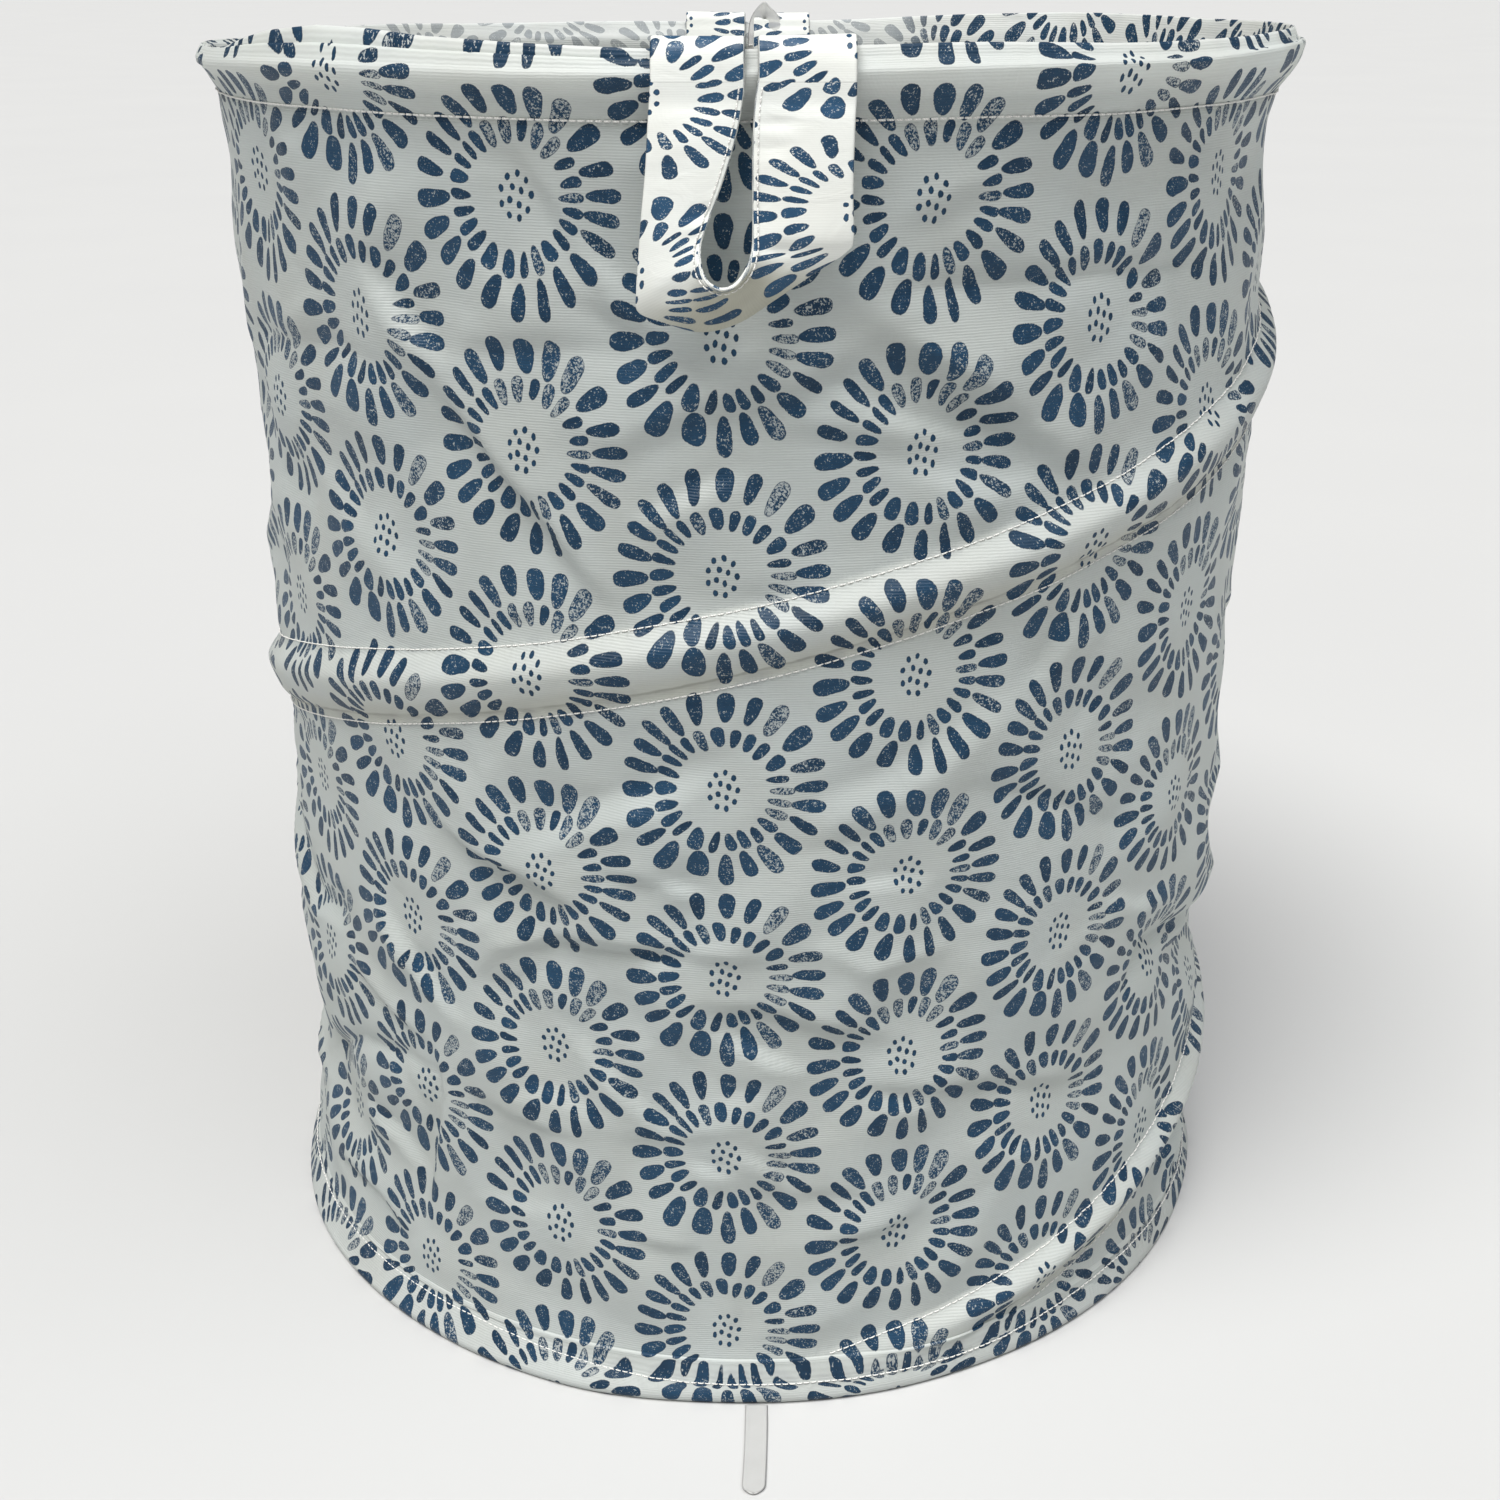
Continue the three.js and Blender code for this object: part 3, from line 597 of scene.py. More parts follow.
def cloth(name, colour, through, thin=0.35, rib=0.2, coil=None, rough=0.44, seam_lines=(), ink_tone=1.0, eased=True, relief=1.0,
          bold=1.13, inner=None, turn_painted_shade=False):
    """Woven polyester with the print on it. through is the tint of light that passes, thin its share, and coil the
    colour painted on the band over
    the spiral: mostly painted light on its upward-facing slope, and a little for the doubled cloth."""
    T = Tree(name)
    m = T.m
    vec, u, v = T.uv()
    geo = T.node("ShaderNodeNewGeometry")
    # ribs across the cloth 0.95 mm apart, with thread noise in both directions
    wob = T.noise(vec, 260.0, 1.0)
    ribs = m("SINE", m("ADD", m("MULTIPLY", v, 2 * math.pi / 0.00095), m("MULTIPLY", wob, 2.2)))
    warp_t = m("SINE", m("ADD", m("MULTIPLY", u, 2 * math.pi / 0.00042), m("MULTIPLY", wob, 1.4)))
    slub = T.noise(T.xyz(m("MULTIPLY", u, 60.0), m("MULTIPLY", v, 900.0), 0.0), 1.0, 2.0, 0.6)
    weave = m("ADD", m("MULTIPLY", ribs, 0.50), m("ADD", m("MULTIPLY", warp_t, 0.14), m("MULTIPLY", slub, 0.9)))
    cloudy = T.noise(vec, 19.0, 3.0, 0.55)
    shade = m("ADD", m("MULTIPLY_ADD", cloudy, 0.12, 0.92), m("MULTIPLY", weave, 0.040))
    height = m("MULTIPLY", weave, rib)
    white = colour
    if inner:
        # painted light: the rim's roll lies in more layers and faces up to the light, and is painted lighter; the layer
        # inside the rim is painted lighter still, where light comes through the far rim
        white = T.mix(T.ramp(m("MULTIPLY", v, 1000.0), 525.5, 530.5), white, inner[2])
        white = T.mix(T.ramp(m("MULTIPLY", v, 1000.0), inner[0], inner[0] + 3.0), white, inner[1])
    if coil:
        # along the spiral's two seams and the fold under its wire, with painted light and shade: a lighter band that
        # faces up, warm shade under the wire and a dark line in its fold
        d = m("WRAP", m("SUBTRACT", m("SUBTRACT", m("MULTIPLY", v, 1000.0), 331.49), m("MULTIPLY", u, 1000.0 * 335.0 / (2 * math.pi * R_UV))), 190.0, -145.0)
        turns = m("MULTIPLY", T.ramp(v, 0.010, 0.030), T.ramp(v, 0.518, 0.500))
        # painted shade: a thin dark line in the fold under the wire
        crease = T.ramp(m("ABSOLUTE", m("ADD", d, 4.7)), 0.0, 1.1, 1.0, 0.0)
        faint = T.noise(vec, 28.0, 1.0)
        crease = m("MULTIPLY", m("MULTIPLY", crease, turns), T.ramp(faint, 0.38, 0.56, 0.35, 1.0))
        # painted shade, warm, on the cloth under the wire's bulge
        warm_painted_shade = m("MULTIPLY", T.ramp(d, -9.5, -7.5), T.ramp(d, 5.0, -3.0))
        # at the spiral's foot the upper seam runs closer to the wire
        d_up = m("ADD", d, T.ramp(m("SUBTRACT", m("MULTIPLY", v, 1000.0), d), 30.0, 85.0, 6.0, 0.0))
        # painted light on the band between the seams, which faces up, with a little for the doubled cloth
        doubled_and_lit = m("MULTIPLY", m("MULTIPLY", T.ramp(d, -9.6, -8.0), T.ramp(d_up, 22.0, 20.0)), turns)
        white = T.mix(doubled_and_lit, white, coil)
        white = T.mix(m("MULTIPLY", m("MULTIPLY", warm_painted_shade, turns), 0.22), white, (0.70, 0.65, 0.50))
        white = T.mix(m("MULTIPLY", crease, 0.40), white, (0.20, 0.19, 0.16))
        near = m("ADD", T.ramp(m("ABSOLUTE", m("SUBTRACT", d_up, SEAM_UP)), 0.0, 4.0, 1.0, 0.0),
                 T.ramp(m("ABSOLUTE", m("SUBTRACT", d, SEAM_DOWN)), 0.0, 3.0, 1.0, 0.0))
        tug = m("MULTIPLY", near, m("SUBTRACT", T.noise(T.xyz(u, m("MULTIPLY", v, 0.15), 0.0), 420.0, 1.0), 0.5))
        height = m("ADD", height, m("MULTIPLY", tug, 1.6))
    for at, width in seam_lines:
        near = T.ramp(m("ABSOLUTE", m("SUBTRACT", m("MULTIPLY", v, 1000.0), at)), 0.0, width, 1.0, 0.0)
        tug = m("MULTIPLY", near, m("SUBTRACT", T.noise(T.xyz(u, m("MULTIPLY", v, 0.1), 0.0), 360.0, 1.0), 0.5))
        height = m("ADD", height, m("MULTIPLY", tug, 2.0))
    tint = T.mix(m("MULTIPLY_ADD", cloudy, 1.4, -0.2), (1.0, 0.995, 0.965), (0.975, 0.995, 1.0))
    grey = T.node("ShaderNodeCombineColor")
    for s in grey.inputs[:3]:
        T.plug(s, shade)
    white = T.mix(1.0, T.mix(1.0, white, tint, "MULTIPLY"), grey.outputs[0], "MULTIPLY")
    ink, tone, rim = burst_print(T, vec, u, v, eased, bold)
    deep, light = (0.004, 0.030, 0.072), (0.016, 0.070, 0.148)
    navy = T.mix(m("MINIMUM", tone, 1.0), tuple(c * ink_tone for c in deep), tuple(c * ink_tone for c in light))
    navy = T.mix(m("MULTIPLY", rim, 0.35), navy, (0.003, 0.022, 0.052))
    if inner:
        # at the back the layer inside the rim is turned with its reverse outwards
        ink = m("MULTIPLY", ink, m("MULTIPLY_ADD", m("MULTIPLY", m("MULTIPLY", T.ramp(m("MULTIPLY", v, 1000.0), inner[0] - 4, inner[0]), T.ramp(u, -0.80, -0.76)), T.ramp(u, -0.40, -0.46)), -0.52, 1.0))
    if turn_painted_shade:
        # painted shade: the strap is painted darker and warmer at its bottom, where it turns under
        painted_shade = m("MULTIPLY", T.ramp(m("ABSOLUTE", m("SUBTRACT", m("MULTIPLY", v, 1000.0), 567.0)), 12.0, 34.0, 1.0, 0.0), T.ramp(u, 0.002, 0.012, 0.85, 0.1))
        white = T.mix(painted_shade, white, T.mix(1.0, white, (0.44, 0.42, 0.345), "MULTIPLY"))
    # the print shows faintly on the cloth's reverse
    ink = m("MULTIPLY", ink, m("MULTIPLY_ADD", geo.outputs["Backfacing"], -0.45, 1.0))
    col = T.mix(m("MULTIPLY", ink, 0.985), white, navy)
    crush = T.noise(vec, 75.0, 3.0, 0.6, 0.6)
    height = m("ADD", height, m("MULTIPLY", crush, 0.8 * relief))
    normal = T.bump(height, 0.00035, 1.0)
    p = T.node("ShaderNodeBsdfPrincipled")
    T.plug(p.inputs["Base Color"], col)
    T.plug(p.inputs["Roughness"], m("MULTIPLY_ADD", cloudy, 0.16, rough - 0.08))
    p.inputs["Specular IOR Level"].default_value = 0.28
    T.plug(p.inputs["Normal"], normal)
    if not thin:
        return T.finish(p.outputs[0])
    tr = T.node("ShaderNodeBsdfTranslucent")
    T.plug(tr.inputs["Color"], T.mix(1.0, col, through, "MULTIPLY"))
    T.plug(tr.inputs["Normal"], normal)
    both = T.node("ShaderNodeMixShader")
    both.inputs[0].default_value = thin
    T.t.links.new(p.outputs[0], both.inputs[1])
    T.t.links.new(tr.outputs[0], both.inputs[2])
    return T.finish(both.outputs[0])


def thread_material():
    T = Tree("sewing_thread")
    vec, u, v = T.uv()
    twist = T.m("SINE", T.m("ADD", T.m("MULTIPLY", v, 2 * math.pi / 0.0009), T.m("MULTIPLY", u, 2 * math.pi / 0.0011)))
    col = T.mix(T.m("MULTIPLY_ADD", twist, 0.5, 0.5), (0.80, 0.79, 0.75), (0.93, 0.92, 0.89))
    p = T.node("ShaderNodeBsdfPrincipled")
    T.plug(p.inputs["Base Color"], col)
    T.plug(p.inputs["Roughness"], T.m("MULTIPLY_ADD", twist, 0.06, 0.42))
    p.inputs["Sheen Weight"].default_value = 0.2
    T.plug(p.inputs["Normal"], T.bump(twist, 0.00006))
    return T.finish(p.outputs[0])


def lining_material():
    T = Tree("lining_cloth")
    m = T.m
    vec, u, v = T.uv()
    wob = T.noise(vec, 200.0, 1.0)
    a = m("SINE", m("ADD", m("MULTIPLY", v, 2 * math.pi / 0.0011), m("MULTIPLY", wob, 2.0)))
    b = m("SINE", m("ADD", m("MULTIPLY", u, 2 * math.pi / 0.0011), m("MULTIPLY", wob, 2.0)))
    weave = m("MULTIPLY", a, b)
    spots = T.noise(vec, 26.0, 3.0)
    tone = m("ADD", m("MULTIPLY", spots, 0.6), m("MULTIPLY", weave, 0.12))
    col = T.mix(tone, (0.66, 0.645, 0.60), (0.84, 0.83, 0.79))
    p = T.node("ShaderNodeBsdfPrincipled")
    T.plug(p.inputs["Base Color"], col)
    T.plug(p.inputs["Roughness"], m("MULTIPLY_ADD", spots, 0.15, 0.55))
    p.inputs["Sheen Weight"].default_value = 0.15
    T.plug(p.inputs["Normal"], T.bump(m("ADD", m("MULTIPLY", weave, 0.25), m("MULTIPLY", T.noise(vec, 60.0, 3.0), 1.2)), 0.0003))
    return T.finish(p.outputs[0])


def ribbon_material(name, low, high, through):
    T = Tree(name)
    m = T.m
    vec, u, v = T.uv()
    grain = m("SINE", m("MULTIPLY", v, 2 * math.pi / 0.0005))
    edge = T.ramp(m("ABSOLUTE", m("SUBTRACT", m("ABSOLUTE", m("MULTIPLY", u, 1000.0)), 3.6)), 0.0, 0.55, 1.0, 0.0)
    cloudy = T.noise(vec, 130.0, 2.0)
    col = T.mix(m("MULTIPLY_ADD", cloudy, 0.5, m("MULTIPLY", grain, 0.06)), low, high)
    col = T.mix(m("MULTIPLY", edge, 0.75), col, tuple(min(c * 1.08, 0.97) for c in high))
    p = T.node("ShaderNodeBsdfPrincipled")
    T.plug(p.inputs["Base Color"], col)
    T.plug(p.inputs["Roughness"], m("MULTIPLY_ADD", cloudy, 0.12, 0.34))
    p.inputs["Sheen Weight"].default_value = 0.25
    normal = T.bump(m("ADD", m("MULTIPLY", grain, 0.3), m("MULTIPLY", edge, 1.5)), 0.00015)
    T.plug(p.inputs["Normal"], normal)
    tr = T.node("ShaderNodeBsdfTranslucent")
    T.plug(tr.inputs["Color"], col)
    both = T.node("ShaderNodeMixShader")
    both.inputs[0].default_value = through
    T.t.links.new(p.outputs[0], both.inputs[1])
    T.t.links.new(tr.outputs[0], both.inputs[2])
    return T.finish(both.outputs[0])


def metal(name, colour, rough, scale):
    T = Tree(name)
    tc = T.node("ShaderNodeTexCoord")
    n = T.noise(tc.outputs["Object"], scale, 3.0, dim="3D")
    p = T.node("ShaderNodeBsdfPrincipled")
    T.plug(p.inputs["Base Color"], T.mix(n, tuple(c * 0.8 for c in colour), colour))
    p.inputs["Metallic"].default_value = 1.0
    T.plug(p.inputs["Roughness"], T.m("MULTIPLY_ADD", n, 0.2, rough - 0.1))
    T.plug(p.inputs["Normal"], T.bump(n, 0.00004))
    return T.finish(p.outputs[0])


def vinyl_material():
    T = Tree("vinyl")
    tc = T.node("ShaderNodeTexCoord")
    n = T.noise(tc.outputs["Object"], 900.0, 2.0, dim="3D")
    p = T.node("ShaderNodeBsdfPrincipled")
    T.plug(p.inputs["Base Color"], T.mix(n, (0.80, 0.79, 0.76), (0.9, 0.89, 0.87)))
    T.plug(p.inputs["Roughness"], T.m("MULTIPLY_ADD", n, 0.15, 0.36))
    T.plug(p.inputs["Normal"], T.bump(n, 0.00005))
    return T.finish(p.outputs[0])


# coil: the colour painted on the spiral's band, painted light on its upward-facing slope
WALL = cloth("printed_cloth_wall", (0.635, 0.668, 0.665), (0.98, 0.97, 0.94), thin=0.38, coil=(0.755, 0.782, 0.77), rough=0.35)
# inner's two colours are painted light on the rim's roll and on the layer inside the rim
HEM = cloth("printed_cloth_hem", (0.73, 0.758, 0.75), (0.98, 0.97, 0.94), thin=0.38, seam_lines=((HEM_STITCH, 5.0), (8.1, 5.0)), rough=0.38,
            inner=(543.0, (0.93, 0.94, 0.935), (0.865, 0.89, 0.875)))
TAPE = cloth("printed_cloth_tape", (0.73, 0.75, 0.73), (0.98, 0.97, 0.93), thin=0.36)
# the strap's bottom gets painted shade where it turns under
STRAP = cloth("strap_cloth", (0.895, 0.905, 0.875), (0.98, 0.97, 0.95), thin=0.08, rib=0.04, rough=0.38, ink_tone=1.15, eased=False, bold=1.0, turn_painted_shade=True)
THREAD = thread_material()
LINING = lining_material()
RIBBON = ribbon_material("ribbon_loop_cloth", (0.90, 0.90, 0.885), (0.96, 0.96, 0.95), 0.55)
TIE = ribbon_material("ribbon_tie_cloth", (0.53, 0.53, 0.52), (0.62, 0.62, 0.61), 0.12)
STEEL = metal("spring_steel", (0.62, 0.63, 0.65), 0.32, 700.0)
CRIMP = metal("crimp_metal", (0.55, 0.56, 0.58), 0.4, 500.0)
VINYL = vinyl_material()

# ------------------------------------------------------------------ wall
NC, NR = 480, 202
deg = np.linspace(SEAM - 0.6, SEAM + 361.0, NC + 1)
zz = np.concatenate([np.linspace(WALL_LOW, 40, 15)[:-1], np.linspace(40, 496, NR - 26), np.linspace(496, WALL_HIGH, 15)[1:]])
D, Z = np.meshgrid(deg, zz)
Rw = wall_r(D, Z)
# at the seam one edge lies over the other
Rw = Rw + 0.35 * smooth(D, SEAM + 357.5, SEAM + 360.0) - 0.35 * (1 - smooth(D, SEAM + 0.5, SEAM + 3.0))


def wall_at(t, z):
    """The radius of the wall's mesh, between its own points."""
    t, z = np.broadcast_arrays(np.asarray(t, float), np.asarray(z, float))
    t = (t - SEAM) % 360.0 + SEAM
    i = np.clip(np.searchsorted(deg, t) - 1, 0, len(deg) - 2)
    j = np.clip(np.searchsorted(zz, z) - 1, 0, len(zz) - 2)
    a = np.clip((t - deg[i]) / (deg[i + 1] - deg[i]), 0, 1)
    b = np.clip((z - zz[j]) / (zz[j + 1] - zz[j]), 0, 1)
    return (Rw[j, i] * (1 - a) + Rw[j, i + 1] * a) * (1 - b) + (Rw[j + 1, i] * (1 - a) + Rw[j + 1, i + 1] * a) * b


P = polar(Rw, D, Z)
U = np.stack([np.radians(D - COL_AT) * R_UV, Z], -1)
wall = sheet_grid("wall_panel", P, U, [WALL])
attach(wall, "root")
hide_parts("wall")


def squashed(ob):
    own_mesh(ob)
    return ob


# ------------------------------------------------------------------ hems
def ring_strip(name, columns, ctrl, n, v0, way, mat):
    """A strip of cloth round the hamper. ctrl gives (r, z) controls for each angle, columns by controls by 2."""
    sec = spline(np.moveaxis(ctrl, 1, 0), n)  # n, columns, 2
    step = np.linalg.norm(np.diff(sec, axis=0), axis=-1).mean(1)
    arc = v0 + way * np.concatenate([[0], np.cumsum(step)])
    P = polar(sec[..., 0], columns[None, :], sec[..., 1])
    cols = np.concatenate([columns, [columns[0] + 360.0]])
    U = np.stack(np.broadcast_arrays(np.radians(cols - COL_AT)[None, :] * R_UV, arc[:, None]), -1)
    return sheet_grid(name, P, U, [mat], wrap_c=True, flip=way < 0), sec


# how far the rim's crest and its outer edge stand over their usual heights, by angle
RIM_LIFT = ([0, 10, 20, 45, 60, 75, 90, 110, 130, 150, 163, 173, 200, 205, 210, 215, 220, 228, 234, 241, 250, 268, 285, 302, 313, 325, 340, 360],
            [1.2, 0.8, 0.3, 0.5, -1.0, -3.5, -4.3, -4.3, -4.3, -3.4, -4.6, -6.5, -6.5, -5.6, -3.9, -0.7, 2.1, 4.2, 3.6, 1.6, 1.0, 1.2, 1.5, 1.7, 2.0, 1.2, 1.6, 1.2])
RIM_EDGE = ([0, 10, 60, 90, 150, 175, 205, 216, 225, 250, 262, 275, 295, 302, 313, 325, 340, 350, 360],
            [1.8, 1.0, -1.0, -1.5, -1.6, -3.0, -3.0, -1.8, -1.1, -1.3, -0.6, 0, 0.8, 1.1, 0.9, 1.8, 2.4, 2.2, 1.8])


def top_controls(t):
    """Cross-section of the top hem at angles t: out over the wire, in over the fold's top and down inside."""
    w0, w1, w2 = wall_at(t, HEM_EDGE), wall_at(t, HEM_STITCH), wall_at(t, 516.2)
    a, b, c, d = ring_noise(t, 21), ring_noise(t, 22), ring_noise(t, 23), ring_noise(t * 3, 24)
    one = np.ones_like(t)
    flare = w1 - 222.0
    knots, lift = RIM_LIFT
    up = np.interp(np.asarray(t, float) % 360.0, knots, lift)
    edge_up = np.interp(np.asarray(t, float) % 360.0, *RIM_EDGE)
    # on the left a fold runs along the rim, and the inner layer stands up behind it
    fold = smooth(t, 208, 218) * (1 - smooth(t, 256, 266)) + 0.35 * smooth(t, 20, 40) * (1 - smooth(t, 150, 170))
    rows = [
        (w0 + 0.10, HEM_EDGE * one), (w1 + 0.20, HEM_STITCH * one),
        (224.0 + 0.6 * flare + 0.25 * d, 522.4 * one), (226.3 + 0.25 * flare + 0.25 * d, 526.4 + 0 * a),
        (228.3 + 0 * a, 530.0 + 0.4 * edge_up), (229.3 + 0.1 * b, 532.6 + 0.1 * a + edge_up), (229.6 + 0.1 * b, 534.2 + 0.3 * a + edge_up),
        (229.2 + 0.1 * b, 535.4 + 0.5 * a + edge_up), (228.2 + 0.2 * b, 536.4 + 0.7 * a + 0.8 * edge_up), (227.1 + 0.3 * b, 537.5 + 0.9 * a + 0.3 * up + 0.3 * fold),
        (226.3 + 0.4 * b, 538.2 + 1.0 * a + 0.4 * up + 0.2 * fold), (226.0 + 0.5 * b - 0.2 * fold, 538.6 + 1.1 * a + 0.5 * up - 1.5 * fold),
        (225.6 + 0.5 * b, 539.3 + 1.1 * a + 0.6 * up - 1.2 * fold),
        (224.8 + 0.7 * b, 540.6 + 1.3 * a + 0.9 * up), (224.1 + 0.9 * b, 541.1 + 1.4 * a + up),
        (223.4 + 1.0 * b, 540.4 + 1.4 * a + up), (222.6 + 1.0 * b, 538.0 + 1.1 * a + 0.9 * up), (221.2 + 0.8 * b + 0.4 * d, 533.4 + 0.6 * a + 0.5 * up),
        (219.9 + 0.5 * b + 0.6 * c, 528.4 + 0 * a), (219.6 + 0.2 * b + 0.5 * d, 523.6 + 0 * a), (w1 - 0.85, HEM_STITCH * one), (w2 - 0.95, 516.2 * one),
    ]
    rows = np.stack([np.stack(r, -1) for r in rows], 1)
    # where the crest is low it still stays over the outer edge
    floor_z = (534.9 + 0.9 * edge_up)[:, None] - np.array([0.0] * 9 + [0.4, 0.2, 0.1, 0.0, 0.0, 0.4, 1.6] + [99.0] * 6)[None, :]
    rows[:, 9:16, 1] = np.maximum(rows[:, 9:16, 1], floor_z[:, 9:16])
    return rows


def low_stitch(t):
    """The height of the bottom hem's stitches: lowest in front, where the hem is rolled under a little."""
    t = np.asarray(t, float) % 360.0
    return LOW_STITCH + 6.0 * (1 - smooth(t, 234, 266) * (1 - smooth(t, 292, 318)))


def low_controls(t):
    """Cross-section of the bottom hem: out over the wire, under it and up inside."""
    ls = low_stitch(t)
    w0, w1, w2, w3, w4 = (wall_at(t, z) for z in (LOW_EDGE, ls, ls + 3.0, 17.2, 0.5 * ls + 9.4))
    a, b, d = ring_noise(t, 31), ring_noise(t, 32), ring_noise(t * 3, 33)
    one = np.ones_like(t)
    front = smooth(t, 222, 252) * (1 - smooth(t, 292, 318))
    # the foot spreads on the left and is drawn in on the right
    foot = 3.0 * smooth(t, 185, 212) * (1 - smooth(t, 250, 268)) - 1.1 * smooth(t, 282, 298) * (1 - smooth(t, 335, 352))
    rows = [
        (w0 + 0.05, LOW_EDGE * one), (w0 + 0.25 + 0.75 * front + 0.2 * d, LOW_EDGE - 0.5 * one), (w3 + 0.65, 17.2 * one), (w4 + 0.35, 0.5 * ls + 9.4),
        (w1 + 0.2 + 0.2 * foot, ls), (228.6 + 0.2 * d + 0.75 * foot, 6.2 * one), (229.35 + 0.1 * b + foot, 3.6 * one), (229.15 + 0.1 * b + foot, 1.5 * one),
        (228.0 + 0.1 * b + foot, 0.35 * one), (226.4 + 0.1 * b + 0.6 * foot, 0.02 * one), (225.2 + 0 * a, 0.6 * one), (224.6 + 0.2 * a, 2.4 * one),
        (225.2 + 0.2 * a, 6.0 * one), (w1 - 0.9, ls), (w2 - 0.95, ls + 3.0),
    ]
    return np.stack([np.stack(r, -1) for r in rows], 1)


ring_t = np.linspace(0, 360, 720, endpoint=False)
top_hem, top_sec = ring_strip("top_hem_strip", ring_t, top_controls(ring_t), 78, HEM_EDGE, 1, HEM)
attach(top_hem, "top")
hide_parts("top_hem")
low_hem, low_sec = ring_strip("bottom_hem_strip", ring_t, low_controls(ring_t), 46, LOW_EDGE, -1, HEM)
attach(low_hem, "root")
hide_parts("bottom_hem")
for ob, rows in ((top_hem, top_sec), (low_hem, low_sec)):
    long = float(np.linalg.norm(np.diff(rows, axis=0), axis=-1).sum(0).mean())

# ------------------------------------------------------------------ base: a round of lining cloth, slightly rumpled
rings, spokes = 46, 240
rr = np.linspace(0, 1, rings) ** 0.9 * 223.9
t = np.linspace(0, 360, spokes, endpoint=False)
RR, TT = np.meshgrid(rr[1:], t, indexing="ij")
X, Y = RR * np.cos(np.radians(TT)), RR * np.sin(np.radians(TT))
lift = (0.5 * np.sin(X / 31 + 0.6 * np.sin(Y / 40)) * np.cos(Y / 43 + 1.1) + 0.35 * np.sin((X + 1.3 * Y) / 19.0) * np.cos((Y - 0.6 * X) / 47)
        + 0.25 * ring_noise(TT, 51) * np.sin(RR / 26))
edge = 1 - smooth(RR, 196, 222)
Zb = 1.25 + 0.55 * lift * edge + 0.55 * (1 - edge)
P = np.concatenate([[[0, 0, 1.3]], np.stack([X, Y, Zb], -1).reshape(-1, 3)])
f, ci, cj = grid_faces(rings - 1, spokes, wrap_c=True)
quads = [f + 1]
# the middle is closed with four-cornered faces round the centre point
mid = np.array([[0, 1 + (2 * k + 2) % spokes, 1 + (2 * k + 1) % spokes, 1 + (2 * k) % spokes] for k in range(spokes // 2)])
quads.append(mid)
Q = np.concatenate(quads)[:, ::-1]
base = make("base_round", P, Q, P[Q][..., :2].reshape(-1, 2), [LINING])
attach(base, "root")
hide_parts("base")

# ------------------------------------------------------------------ spiral: wire, vinyl tips and channel tape
WIRE_UP = 5.0  # the wire lies against the cloth, a little above the middle of its channel
turn = np.linspace(COIL_FROM + 1.8, COIL_TO - 1.8, 420)


def wire_r(t):
    """Just inside the cloth of the channel, which bears on the wire."""
    near = np.min([wall_at(t + k, coil_z(t + k) + WIRE_UP + j) for k in (-2.5, -1.2, 0, 1.2, 2.5) for j in (-1, 1)], 0)
    k = np.exp(-0.5 * (np.arange(-9, 10) / 4.0) ** 2)
    return np.convolve(np.pad(near, 9, mode="edge"), k / k.sum(), mode="valid") - 1.9 if len(near) > 30 else near - 1.9


wire_line = wire_r(turn)


def tube(deg_line, r_line, z_line, radius, sides=10, cap=True):
    line = polar(r_line, deg_line, z_line)
    tan = np.gradient(line, axis=0)
    tan /= np.linalg.norm(tan, axis=1, keepdims=True)
    out = polar(1.0, deg_line, 0.0)
    out = out - (out * tan).sum(1, keepdims=True) * tan
    out /= np.linalg.norm(out, axis=1, keepdims=True)
    side = np.cross(tan, out)
    ang = np.arange(sides) * 2 * math.pi / sides
    rad = np.broadcast_to(radius, (len(line),))
    ring = line[:, None] + rad[:, None, None] * (out[:, None] * np.cos(ang)[None, :, None] + side[:, None] * np.sin(ang)[None, :, None])
    n = len(line)
    f, ci, cj = grid_faces(n, sides, wrap_c=True, flip=True)
    P = ring.reshape(-1, 3)
    if cap:
        P = np.concatenate([P, line[:1], line[-1:]])
        a, b = len(P) - 2, len(P) - 1
        caps = [[a, (2 * k + 0) % sides, (2 * k + 1) % sides, (2 * k + 2) % sides] for k in range(sides // 2)]
        last = (n - 1) * sides
        caps += [[b, last + (2 * k + 2) % sides, last + (2 * k + 1) % sides, last + (2 * k) % sides] for k in range(sides // 2)]
        f = np.concatenate([f, np.array(caps)])
    return P, f


P, Q = tube(turn, wire_line, coil_z(turn) + WIRE_UP, 0.85)
wire = make("spiral_wire_drawn", P, Q, np.zeros((Q.size, 2)), [STEEL])
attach(wire, "root")
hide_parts("spiral_wire")
for name, end, way in (("lower", COIL_FROM + 1.8, 1), ("upper", COIL_TO - 1.8, -1)):
    s = np.array([-0.5, -0.48, -0.40, -0.25, 0.0, 0.8, 1.5, 1.72, 1.8]) * way + end
    rad = np.array([0.1, 0.7, 1.1, 1.4, 1.5, 1.5, 1.5, 1.4, 1.2])
    order = np.argsort(s)
    P, Q = tube(s[order], np.full(len(s), np.interp(end, turn, wire_line)), coil_z(s[order]) + WIRE_UP, rad[order], 12)
    tip = make(f"spiral_tip_{name}_cap", P, Q, np.zeros((Q.size, 2)), [VINYL])
    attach(tip, "root")
    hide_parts(f"spiral_tip_{name}")
    squashed(tip)
squashed(wire)

